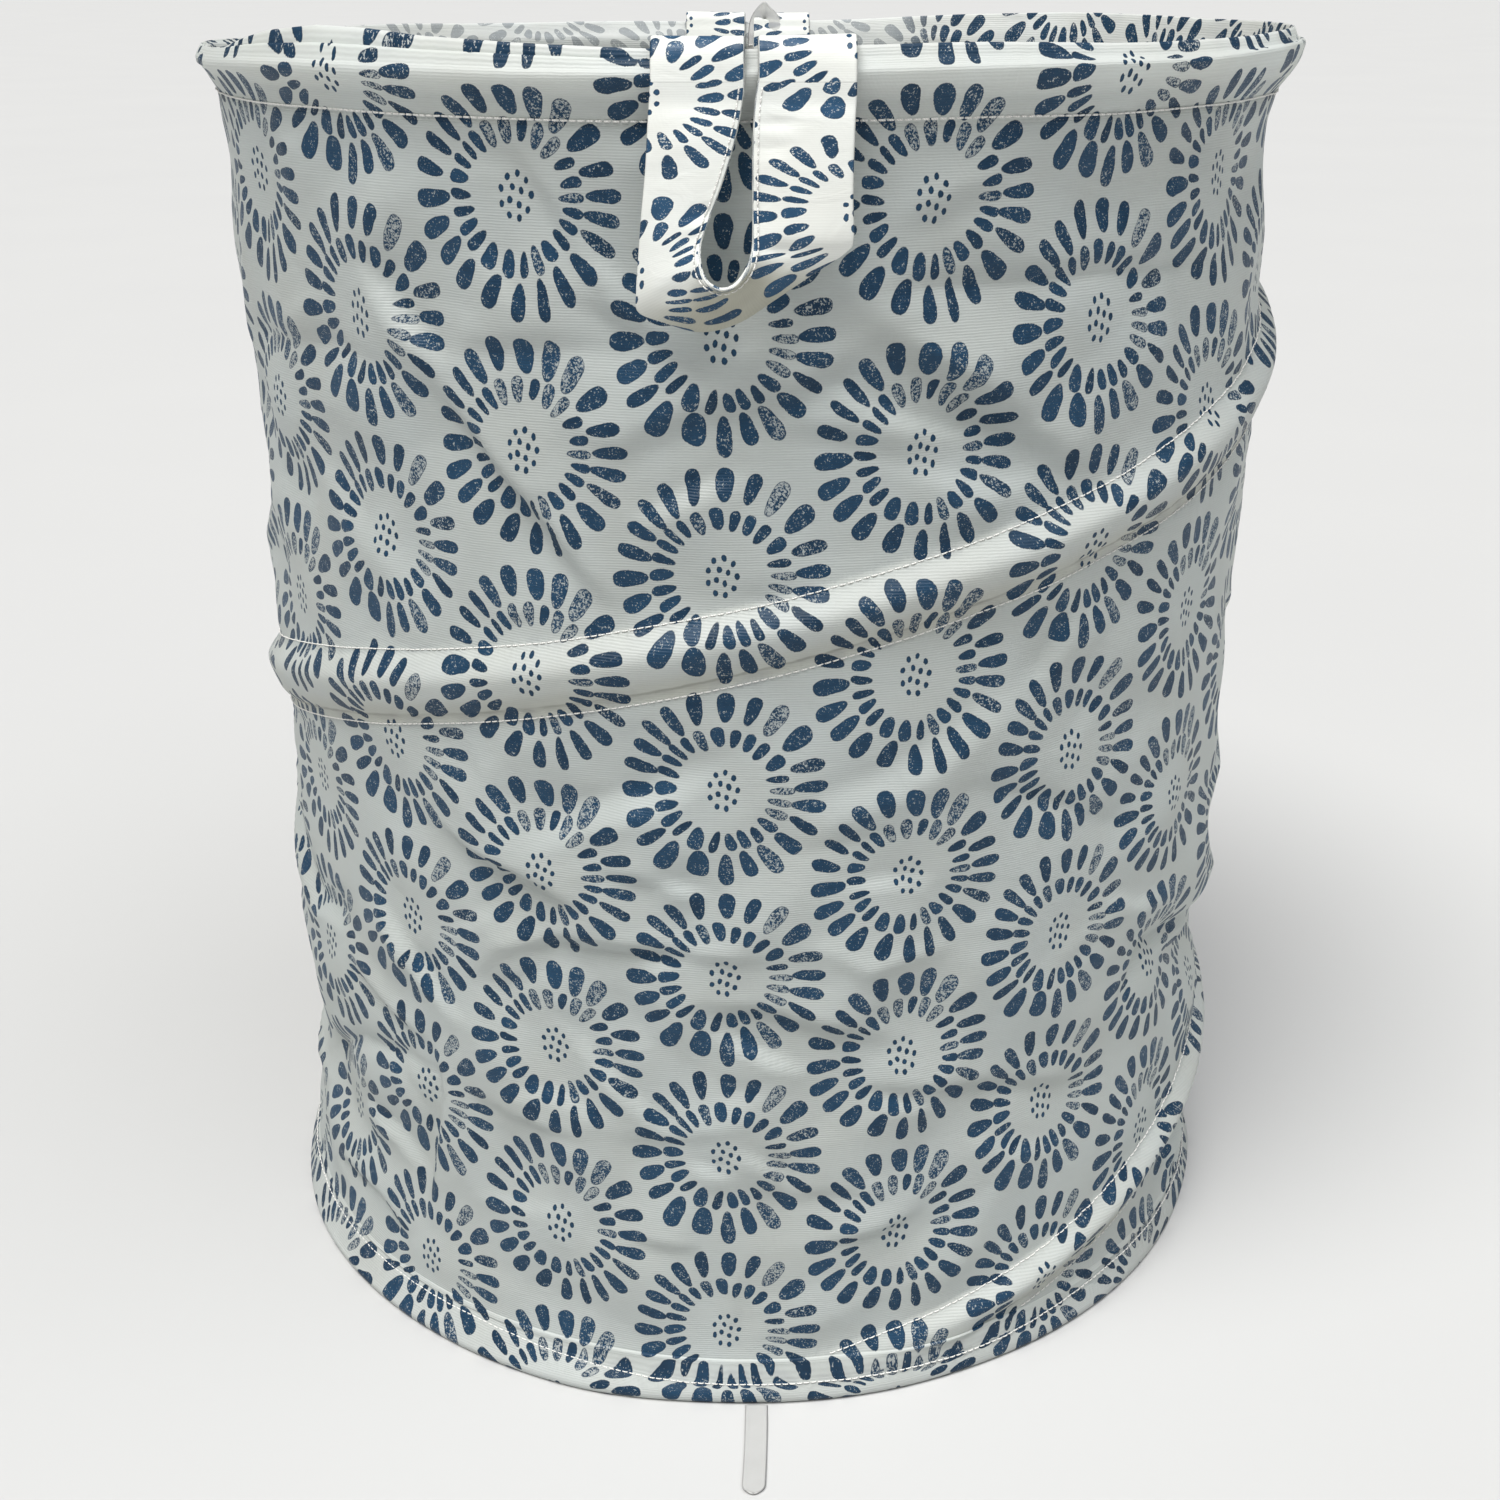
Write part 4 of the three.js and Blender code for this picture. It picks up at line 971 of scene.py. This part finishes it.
tape_t = np.linspace(COIL_FROM, COIL_TO, 640)
zw = coil_z(tape_t)
up_t = seam_up(tape_t, zw)
low = np.maximum(SEAM_DOWN - 1.6, 18.0 - zw)
high = np.minimum(up_t + 1.6, 515.0 - zw)
cut_low, cut_high = np.maximum(SEAM_DOWN, low + 0.6), np.minimum(up_t, high - 0.6)
rows = []
for k in np.linspace(0, 1, 18):
    d = low + (high - low) * k
    w = wall_at(tape_t, zw + d)
    rows.append((d, w))
w_lo = wall_at(tape_t, zw + cut_low)
w_hi = wall_at(tape_t, zw + cut_high)
near_tip = 1 - smooth(tape_t, COIL_FROM + 5, COIL_FROM + 9) * (1 - smooth(tape_t, COIL_TO - 9, COIL_TO - 5))
P, U = [], []
for d, w in rows:
    k = np.clip((d - cut_low) / (cut_high - cut_low), 0, 1)
    flat = (w_lo * (1 - k) + w_hi * k) - 0.7
    belly = 0.5 * np.sin(np.pi * k) * ring_noise(tape_t * 2.0, 61)
    # the tape passes inside the wire and its tips all along
    past = wire_r(tape_t) - 1.35 - 0.85 * near_tip + 0.11 * (d - WIRE_UP) ** 2
    r = np.minimum(np.minimum(w - 0.6, flat + belly), past)
    P.append(polar(r, tape_t, zw + d))
    U.append(np.stack([np.radians(tape_t - COL_AT) * R_UV + 21.0, d + 0 * tape_t + 137.0], -1))
tape = sheet_grid("spiral_channel_tape", np.array(P), np.array(U), [TAPE])
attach(tape, "root")
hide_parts("spiral_channel")
squashed(tape)

# ------------------------------------------------------------------ rows of stitches


def wall_line(t, z, lift=0.0, sign=1):
    t, z = np.broadcast_arrays(np.asarray(t, float), np.asarray(z, float))
    return polar(wall_at(t, z) + lift, t, z), sign * polar(1.0, t, 0.0)


t = np.linspace(0, 360, 2400)
wave = 0.35 * ring_noise(t * 2, 71)
line, normal = wall_line(t, HEM_STITCH + wave, 0.42)
s = stitches("top_hem_stitching", line, normal, THREAD, radius=0.34)
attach(s, "top")
line, normal = wall_line(t, low_stitch(t) + 0.4 * ring_noise(t, 72), 0.55)
s = stitches("bottom_hem_stitching", line, normal, THREAD)
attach(s, "root")
t = np.linspace(COIL_FROM - 16.5, COIL_TO - 1, 3510)  # the upper row runs on beyond the spiral's foot, down to the hem
for name, d0 in (("upper", seam_up(t, coil_z(t))), ("lower", SEAM_DOWN + 0 * t)):
    zt = coil_z(t) + d0 + 0.3 * ring_noise(t * 2, 73)
    keep = (zt > 20) & (zt < 514)
    line, normal = wall_line(t[keep], zt[keep], 0.05)
    s = stitches(f"channel_stitching_{name}", line, normal, THREAD)
    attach(s, "root")
    squashed(s)
zs = np.linspace(22, 514, 600)
line, normal = wall_line(np.full(600, 90.2), zs, 0.4)
s = stitches("back_seam_stitching", line, normal, THREAD)
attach(s, "root")
squashed(s)
squashed(wall)


# ------------------------------------------------------------------ handles
def turned_about(P, back):
    P = np.array(P, float)
    if back:
        P[..., 0] *= -1
        P[..., 1] *= -1
    return P


def shell(M, thick, U, bead=0.0):
    """A closed strap from its middle surface M, rows along by columns across, with rounded edges."""
    n, k = M.shape[:2]
    du, dv = np.gradient(M, axis=0), np.gradient(M, axis=1)
    N = np.cross(dv, du)
    N /= np.maximum(np.linalg.norm(N, axis=-1, keepdims=True), 1e-9)
    c = np.linspace(-1, 1, k)
    full = 1.0 + np.broadcast_to(bead, (n,))[:, None] * np.exp(-((c[None, :] - 0.90) / 0.10) ** 2)  # a rolled edge is thicker
    h = 0.5 * np.broadcast_to(thick, (n,))[:, None, None] * (full * np.sqrt(np.clip(1 - np.abs(c) ** 10, 0.0, 1))[None, :])[..., None]
    front, back = M + N * h, M - N * h
    P = np.concatenate([front, back[:, -2:0:-1]], axis=1)  # rows by (2k-2)
    uf = U
    ub = U[:, -2:0:-1].copy()
    ub[..., 0] = -ub[..., 0] + 2 * U[:, :1, 0]
    V = np.concatenate([uf, ub, uf[:, :1]], axis=1)
    nr, nc = P.shape[:2]
    f, ci, cj = grid_faces(nr, nc, wrap_c=True)
    uvs = V[ci, cj].reshape(-1, 4, 2)
    caps = []
    for row, order in ((0, 1), (nr - 1, -1)):
        for j in range(k - 1):
            a, b = j, j + 1
            c2, d2 = (nc - b) % nc, (nc - a) % nc
            if j == k - 2:
                c2 = b
            if j == 0:
                d2 = a
            q = [row * nc + a, row * nc + b, row * nc + c2, row * nc + d2]
            if len(set(q)) < 4:
                continue
            caps.append(q if order < 0 else q[::-1])
    caps = np.array(caps)
    f = np.concatenate([f, caps])
    uvs = np.concatenate([uvs, np.repeat(np.repeat(V[:1, :1], len(caps), 0).reshape(-1, 1, 2), 4, 1)])
    return P.reshape(-1, 3), f, uvs.reshape(-1, 2), N, len(caps)


PIVOT_Y, PIVOT_Z = -231.4, 532.0
HANG_Y = -230.85  # the strap passes just inside the hinge line, so a lifted loop lies against the outside of its ends
# stations along the strap: outer edge (pixel, pixel, y), inner edge (pixel, pixel, y), belly towards the viewer
STATIONS = [
    (None, None, 0.0, 0.0),
    ((649, 96, -230.9), (744, 96, -230.9), 0.0, 0.0),
    ((647, 130, -232.3), (738, 130, -232.3), 0.4, 0.0),
    ((645, 170, -233.3), (727, 170, -233.6), 0.5, 0.0),
    ((641, 215, -233.8), (712, 213, -234.8), 0.7, 0.2),
    ((638, 258, -233.6), (702, 243, -237.0), 1.0, 0.9),
    ((636, 292, -232.6), (701, 264, -241.5), 0.6, 2.6),
    ((638, 312, -230.6), (706, 279, -244.8), 0.2, 4.0),
    ((662, 322, -229.6), (714, 287, -248.6), 0.0, 5.0),
    ((700, 332, -229.0), (723, 290, -250.2), 0.0, 5.6),
    ((738, 323, -229.0), (733, 287, -249.8), 0.0, 5.4),
    ((776, 299, -229.4), (741, 279, -247.6), 0.0, 4.8),
    ((812, 275, -230.4), (747, 267, -243.6), 0.2, 3.4),
    ((847, 252, -231.4), (751, 251, -238.6), 0.6, 1.6),
    ((854, 238, -233.4), (752, 236, -236.4), 0.9, 0.4),
    ((853.5, 205, -233.8), (752, 208, -234.4), 0.7, 0.0),
    ((854, 165, -233.2), (752, 168, -233.4), 0.5, 0.0),
    ((855.5, 125, -232.1), (753, 125, -232.1), 0.3, 0.0),
    ((857, 98, -230.9), (755, 98, -230.9), 0.0, 0.0),
    (None, None, 0.0, 0.0),
]
outer, inner, belly, hollow = [], [], [], []
for k, (o, i, b, h) in enumerate(STATIONS):
    if o is None:
        x0, x1 = (-31.7, -1.6) if k == 0 else (34.0, 2.5)
        outer.append((x0, HANG_Y, PIVOT_Z + 0.4))
        inner.append((x1, HANG_Y, PIVOT_Z + 0.4))
    else:
        outer.append(at_y(*o))
        inner.append(at_y(*i))
    belly.append(b)
    hollow.append(h)
N_LONG, N_WIDE = 190, 25
O, I, B = spline(np.array(outer), N_LONG), spline(np.array(inner), N_LONG), spline(np.array(belly), N_LONG)
cw = np.linspace(0, 1, N_WIDE)
cw = 0.5 - 0.5 * np.cos(np.pi * cw) * (1 - 0.35) - 0.35 * (0.5 - cw)
cw = (cw - cw[0]) / (cw[-1] - cw[0])
M = O[:, None] * (1 - cw)[None, :, None] + I[:, None] * cw[None, :, None]
H = spline(np.array(hollow), N_LONG)
M[..., 1] -= B[:, None] * np.sin(np.pi * cw)[None, :]
M[..., 1] += H[:, None] * (np.sin(np.pi * cw ** 2.2) * smooth(cw, 0.0, 0.5))[None, :]
olen = np.concatenate([[0], np.cumsum(np.linalg.norm(np.diff((O * 0.6 + I * 0.4), axis=0), axis=1))])
# soft wrinkles across the legs, in (share along, share across, length, width, depth)
along = olen / olen[-1]
for a0, c0, la, lc, dep in ((0.885, 0.80, 0.014, 0.22, -0.7), (0.925, 0.78, 0.012, 0.22, -0.7), (0.235, 0.86, 0.014, 0.16, -0.8),
                            (0.265, 0.80, 0.012, 0.14, 0.5), (0.70, 0.75, 0.02, 0.2, -0.7), (0.36, 0.5, 0.03, 0.3, 0.5), (0.55, 0.35, 0.03, 0.25, 0.7)):
    M[..., 1] -= dep * np.exp(-((along[:, None] - a0) / la) ** 2) * np.exp(-((cw[None, :] - c0) / lc) ** 2)
rw = np.random.RandomState(9)
for _ in range(16):
    a0, c0, ph = rw.uniform(0.03, 0.97), rw.uniform(0.1, 0.9), rw.uniform(-0.04, 0.04)
    M[..., 1] -= rw.uniform(-0.3, 0.3) * np.exp(-((along[:, None] - a0 - ph * (cw[None, :] - 0.5)) / 0.02) ** 2) * np.exp(-((cw[None, :] - c0) / 0.3) ** 2)
loop_thick = np.interp(olen, [0, 1.2, olen[-1] - 1.2, olen[-1]], [0.84, 1.0, 1.0, 0.84])
end_thick = np.concatenate([np.ones(58), [0.93, 0.84]])
loop_bead = 1.25 * smooth(along, 0.07, 0.22) * (1 - smooth(along, 0.78, 0.93))
end_bead = 0.4 * (1 - smooth(np.arange(60) / 59.0, 0.5, 0.8))
pin = smooth(along, 0.02, 0.07) * (1 - smooth(along, 0.93, 0.98))
M[..., 1] = HANG_Y + (M[..., 1] - HANG_Y) * pin[:, None]
width = np.linalg.norm(I - O, axis=1)
total = olen[-1]
V_END = 232.5
v_at = np.interp(olen, [0, 6, total * 0.335, total * 0.775, total], [-7.5, 0.0, 83.0, 166.0, V_END])
U = np.stack(np.broadcast_arrays(cw[None, :] * np.clip(width, 26, 33)[:, None] - 2.5, v_at[:, None] + 448.0), -1)

# the ends' side view: radius, height and how much of the rim's own drop at the back they follow
END_PROFILE = [(-1.75, 516.2, 0), (218.2, 522.0, 0), (218.6, 528.0, 0.1), (219.7, 533.6, 0.5), (220.9, 539.0, 0.9), (222.1, 542.9, 1.0), (223.9, 545.2, 1.0),
               (226.2, 545.6, 1.0), (228.4, 544.2, 1.0), (229.9, 541.2, 0.9), (230.65, 537.6, 0.5), (230.82, 534.2, 0.1)]


def strap_end(x0, x1, at_v, away, drop):
    """One sewn end: up inside the rim, over its top and down to the pivot."""
    xs = x0 + (x1 - x0) * cw
    cols = []
    for x in xs:
        ang = math.degrees(math.atan2(-math.sqrt(229.0 ** 2 - x * x), x)) % 360
        b, a = ring_noise(np.array(ang), 22), ring_noise(np.array(ang), 21)
        pts = []
        for k, (r, z, low) in enumerate(END_PROFILE):
            if k == 0:
                r = float(wall_at(ang, 519.0)) + r
            else:
                r += float(b) * 1.1 * (1.0 if 2 <= k <= 6 else 0.4)
            z += (1.2 * float(a) if 4 <= k <= 8 else 0) - drop * low
            round_ = r - math.sqrt(max(r * r - x * x, 1.0))
            pts.append((x, -(r - round_ * (1.0, 0.8, 0.5, 0.24, 0.08)[max(k - 7, 0)]), z))
        pts += [(x, HANG_Y, PIVOT_Z), (x, HANG_Y, PIVOT_Z - 0.4)]
        cols.append(spline(np.array(pts), 60))
    M = np.array(cols).transpose(1, 0, 2)
    mid = M[:, N_WIDE // 2]
    d = np.concatenate([[0], np.cumsum(np.linalg.norm(np.diff(mid, axis=0), axis=1))])
    v = at_v + away * (d - d[-1]) * 1.3
    U = np.stack(np.broadcast_arrays(cw[None, :] * abs(x1 - x0) - 2.5, v[:, None] + 448.0), -1)
    return M, U, float(d[-1])


for name, back in (("front_handle", False), ("back_handle", True)):
    Mh = turned_about(M, back)
    # on the back handle the bursts fall on the two ends
    print_at = (lambda v: 25.0 + (v + 7.5) * 199.5 / 240.0) if back else (lambda v: v)
    P, Q, V, N, flat_caps = shell(Mh, loop_thick, np.stack([U[..., 0], print_at(U[..., 1] - 448.0) + 448.0], -1), loop_bead)
    loop = make(f"{name}_loop", P, Q, V, [STRAP], flat_last=flat_caps)
    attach(loop, name)
    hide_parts(name)
    # the strap's long seam, 1.9 mm in from its inner edge, on both faces
    k = 1.0 - 1.9 / np.clip(width, 20, 33)
    rowsel = np.arange(len(Mh))
    pos = np.stack([np.array([np.interp(k[i], cw, Mh[i, :, c]) for i in rowsel]) for c in range(3)], -1)
    nor = np.stack([np.array([np.interp(k[i], cw, N[i, :, c]) for i in rowsel]) for c in range(3)], -1)
    seams = []
    for side, tag in ((1, "outside"), (-1, "inside")):
        s = stitches(f"{name}_stitching_{tag}", pos[5:-5] + side * nor[5:-5] * (0.5 + 0.3 * loop_bead[5:-5, None]), side * nor[5:-5], THREAD, pitch=2.6, radius=0.24, lift=0.16)
        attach(s, name)
        seams.append(s)
    for ob in [loop] + seams:
        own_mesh(ob)
    for tag, x0, x1, at_v, away in (("left", -31.7, -1.6, -7.5, 1), ("right", 34.0, 2.5, V_END, -1)):
        Me, Ue, long = strap_end(x0, x1, print_at(at_v), away, 4.6 if back else 0.0)
        if tag == "right":
            Me, Ue = Me[::-1], Ue[::-1]
        Me = turned_about(Me, back)
        thick = end_thick if tag == "left" else end_thick[::-1]
        P, Q, V, Ne, flat_caps = shell(Me, thick, Ue, end_bead if tag == "left" else end_bead[::-1])
        end = make(f"{name}_end_{tag}_strap", P, Q, V, [STRAP], flat_last=flat_caps)
        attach(end, "top")
        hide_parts(f"{name}_end_{tag}")
        kk = 1.0 - 1.9 / abs(x1 - x0)
        pos = np.stack([np.array([np.interp(kk, cw, Me[i, :, c]) for i in range(len(Me))]) for c in range(3)], -1)
        nor = np.stack([np.array([np.interp(kk, cw, Ne[i, :, c]) for i in range(len(Me))]) for c in range(3)], -1)
        part = slice(2, -8) if tag == "left" else slice(8, -2)
        s = stitches(f"{name}_end_{tag}_stitching", pos[part] + nor[part] * 0.5, nor[part], THREAD, pitch=2.6, radius=0.24, lift=0.16)
        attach(s, "top")
        # a row of stitches across the end that holds it inside the rim
        inside = Me[2:11] if tag == "left" else Me[-11:-2][::-1]
        ninside = Ne[2:11] if tag == "left" else Ne[-11:-2][::-1]
        cross = inside[3]
        s = stitches(f"{name}_end_{tag}_tack", cross[2:-2] + ninside[3][2:-2] * 0.5, ninside[3][2:-2], THREAD, pitch=2.4, radius=0.24, lift=0.16)
        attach(s, "top")

# ------------------------------------------------------------------ hanging loop: narrow ribbon, up inside the far rim and back down
k = np.linspace(0, 1, 90)
outside = spline(np.array([(-1.0, 518.5), (-1.0, 526), (-0.7, 533), (0.6, 538.4), (3.4, 542.6), (6.6, 545.6), (8.2, 545.9), (10.6, 543.6), (14.0, 540.6), (16.6, 536.6), (17.0, 530), (17.0, 524), (17.0, 518.5)], float), 90)
inside = spline(np.array([(7.4, 518.5), (7.4, 526), (7.3, 532), (7.2, 535.4), (7.6, 537.0), (7.9, 537.7), (8.1, 537.7), (8.4, 537.2), (8.8, 535.8), (8.9, 532), (8.7, 528), (8.6, 524), (8.6, 518.5)], float), 90)
cr = np.linspace(0, 1, 9)
flat_xz = outside[:, None] * (1 - cr)[None, :, None] + inside[:, None] * cr[None, :, None]
depth = np.interp(flat_xz[..., 1], [518, 524, 530, 536, 540, 546], [218.9, 217.9, 218.6, 220.8, 221.8, 222.4])
# a crease runs from the slit up to the point, and the two halves lean a little apart
depth = depth - 0.9 * np.exp(-((flat_xz[..., 0] - 7.6) / 1.3) ** 2) * smooth(flat_xz[..., 1], 536, 540) + 0.5 * np.sin(flat_xz[..., 0] / 3.1) * smooth(flat_xz[..., 1], 524, 532)
Ml = np.stack([flat_xz[..., 0], depth, flat_xz[..., 1]], -1)
dl = np.concatenate([[0], np.cumsum(np.linalg.norm(np.diff(Ml[:, 4], axis=0), axis=1))])
Ul = np.stack(np.broadcast_arrays((cr * 8.4 - 4.2)[None, :], dl[:, None]), -1)
P, Q, V, Nl, flat_caps = shell(Ml, 0.3, Ul)
hang = make("hanging_loop_ribbon", P, Q, V, [RIBBON], flat_last=flat_caps)
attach(hang, "top")
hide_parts("hanging_loop")
for k0, tag in ((6, "a"), (83, "b")):
    row, face = Ml[k0], Nl[k0]
    s = stitches(f"hanging_loop_tack_{tag}", row + face * 0.2 * (-1 if face[:, 1].mean() > 0 else 1), face * (-1 if face[:, 1].mean() > 0 else 1), THREAD, pitch=2.2, radius=0.22, lift=0.14)
    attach(s, "top")

# ------------------------------------------------------------------ tie ribbon: doubled, lying on the floor in front
L, half, x_mid = 50.6, 4.75, 2.75
s = np.concatenate([np.linspace(0, L - half, 54), L - half + half * np.sin(np.linspace(0, np.pi / 2, 14))[1:]])
wid = np.where(s > L - half, np.sqrt(np.clip(1 - ((s - (L - half)) / half) ** 2, 0.006, 1)), 1.0)
cr = np.linspace(-1, 1, 15)
S, C = np.meshgrid(s, cr, indexing="ij")
Wd = wid[:, None] * half
Xr = x_mid + C * Wd + 0.35 * np.sin(S / 17.0) - 0.03 * S
Yr = -230.1 - S
Zr = 0.55 + 0.35 * smooth(S, 2, 16) * (0.5 + 0.5 * np.sin(S / 6.5 + 0.8)) + 0.28 * (np.abs(C) > 0.7) * smooth(np.abs(C), 0.6, 0.95) * smooth(S, 3, 10)
Mr = np.stack([Xr, Yr, Zr], -1)
Ur = np.stack([C * Wd, S], -1)
P, Q, V, Nr_, flat_caps = shell(Mr, 0.7, Ur)
P[:, 2] = np.maximum(P[:, 2], 0.05)
tie = make("tie_ribbon_strip", P, Q, V, [TIE], flat_last=flat_caps)
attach(tie, "tie")
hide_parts("tie_ribbon")

# ------------------------------------------------------------------ wires and sleeves that stay as they are
for node, mat in (("top_ring_wire", STEEL), ("bottom_ring_wire", STEEL), ("top_ring_sleeve", CRIMP), ("bottom_ring_sleeve", CRIMP)):
    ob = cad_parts[node]
    ob = ob if isinstance(ob, bpy.types.Object) else bpy.data.objects[node]
    for sl in ob.material_slots:
        sl.link = "OBJECT"
        sl.material = mat

# ------------------------------------------------------------------ floor and light
T = Tree("floor")
tc = T.node("ShaderNodeTexCoord")
n = T.noise(tc.outputs["Object"], 2.0, 3.0, dim="3D")
p = T.node("ShaderNodeBsdfPrincipled")
T.plug(p.inputs["Base Color"], T.mix(n, (0.55, 0.55, 0.55), (0.575, 0.575, 0.572)))
p.inputs["Roughness"].default_value = 0.75
p.inputs["Specular IOR Level"].default_value = 0.2
floor_mat = T.finish(p.outputs[0])
k = 80
ang = np.linspace(0, 2 * math.pi, k, endpoint=False)
P = np.concatenate([[[0, 0, 0]], np.stack([40000 * np.cos(ang), 40000 * np.sin(ang), 0 * ang], 1)])
Q = np.array([[0, 1 + (2 * i) % k, 1 + (2 * i + 1) % k, 1 + (2 * i + 2) % k] for i in range(k // 2)])
floor = make("floor", P, Q, None, [floor_mat])
floor.location.z = -0.0002

world = bpy.data.worlds.new("world")
scene.world = world
world.use_nodes = True
world.node_tree.nodes["Background"].inputs[0].default_value = (0.97, 0.985, 1.0, 1)
world.node_tree.nodes["Background"].inputs[1].default_value = 0.16

for name, energy, spread, lean, turn_, tint in (("key_light", 3.5, 34, 20, -14, (1.0, 0.99, 0.965)), ("fill_light", 1.2, 50, 17, 22, (0.97, 0.985, 1.0))):
    sun_data = bpy.data.lights.new(name, "SUN")
    sun_data.energy, sun_data.angle = energy, math.radians(spread)
    sun_data.color = tint
    sun = bpy.data.objects.new(name, sun_data)
    sun.rotation_euler = (math.radians(lean), math.radians(turn_), 0)
    scene.collection.objects.link(sun)
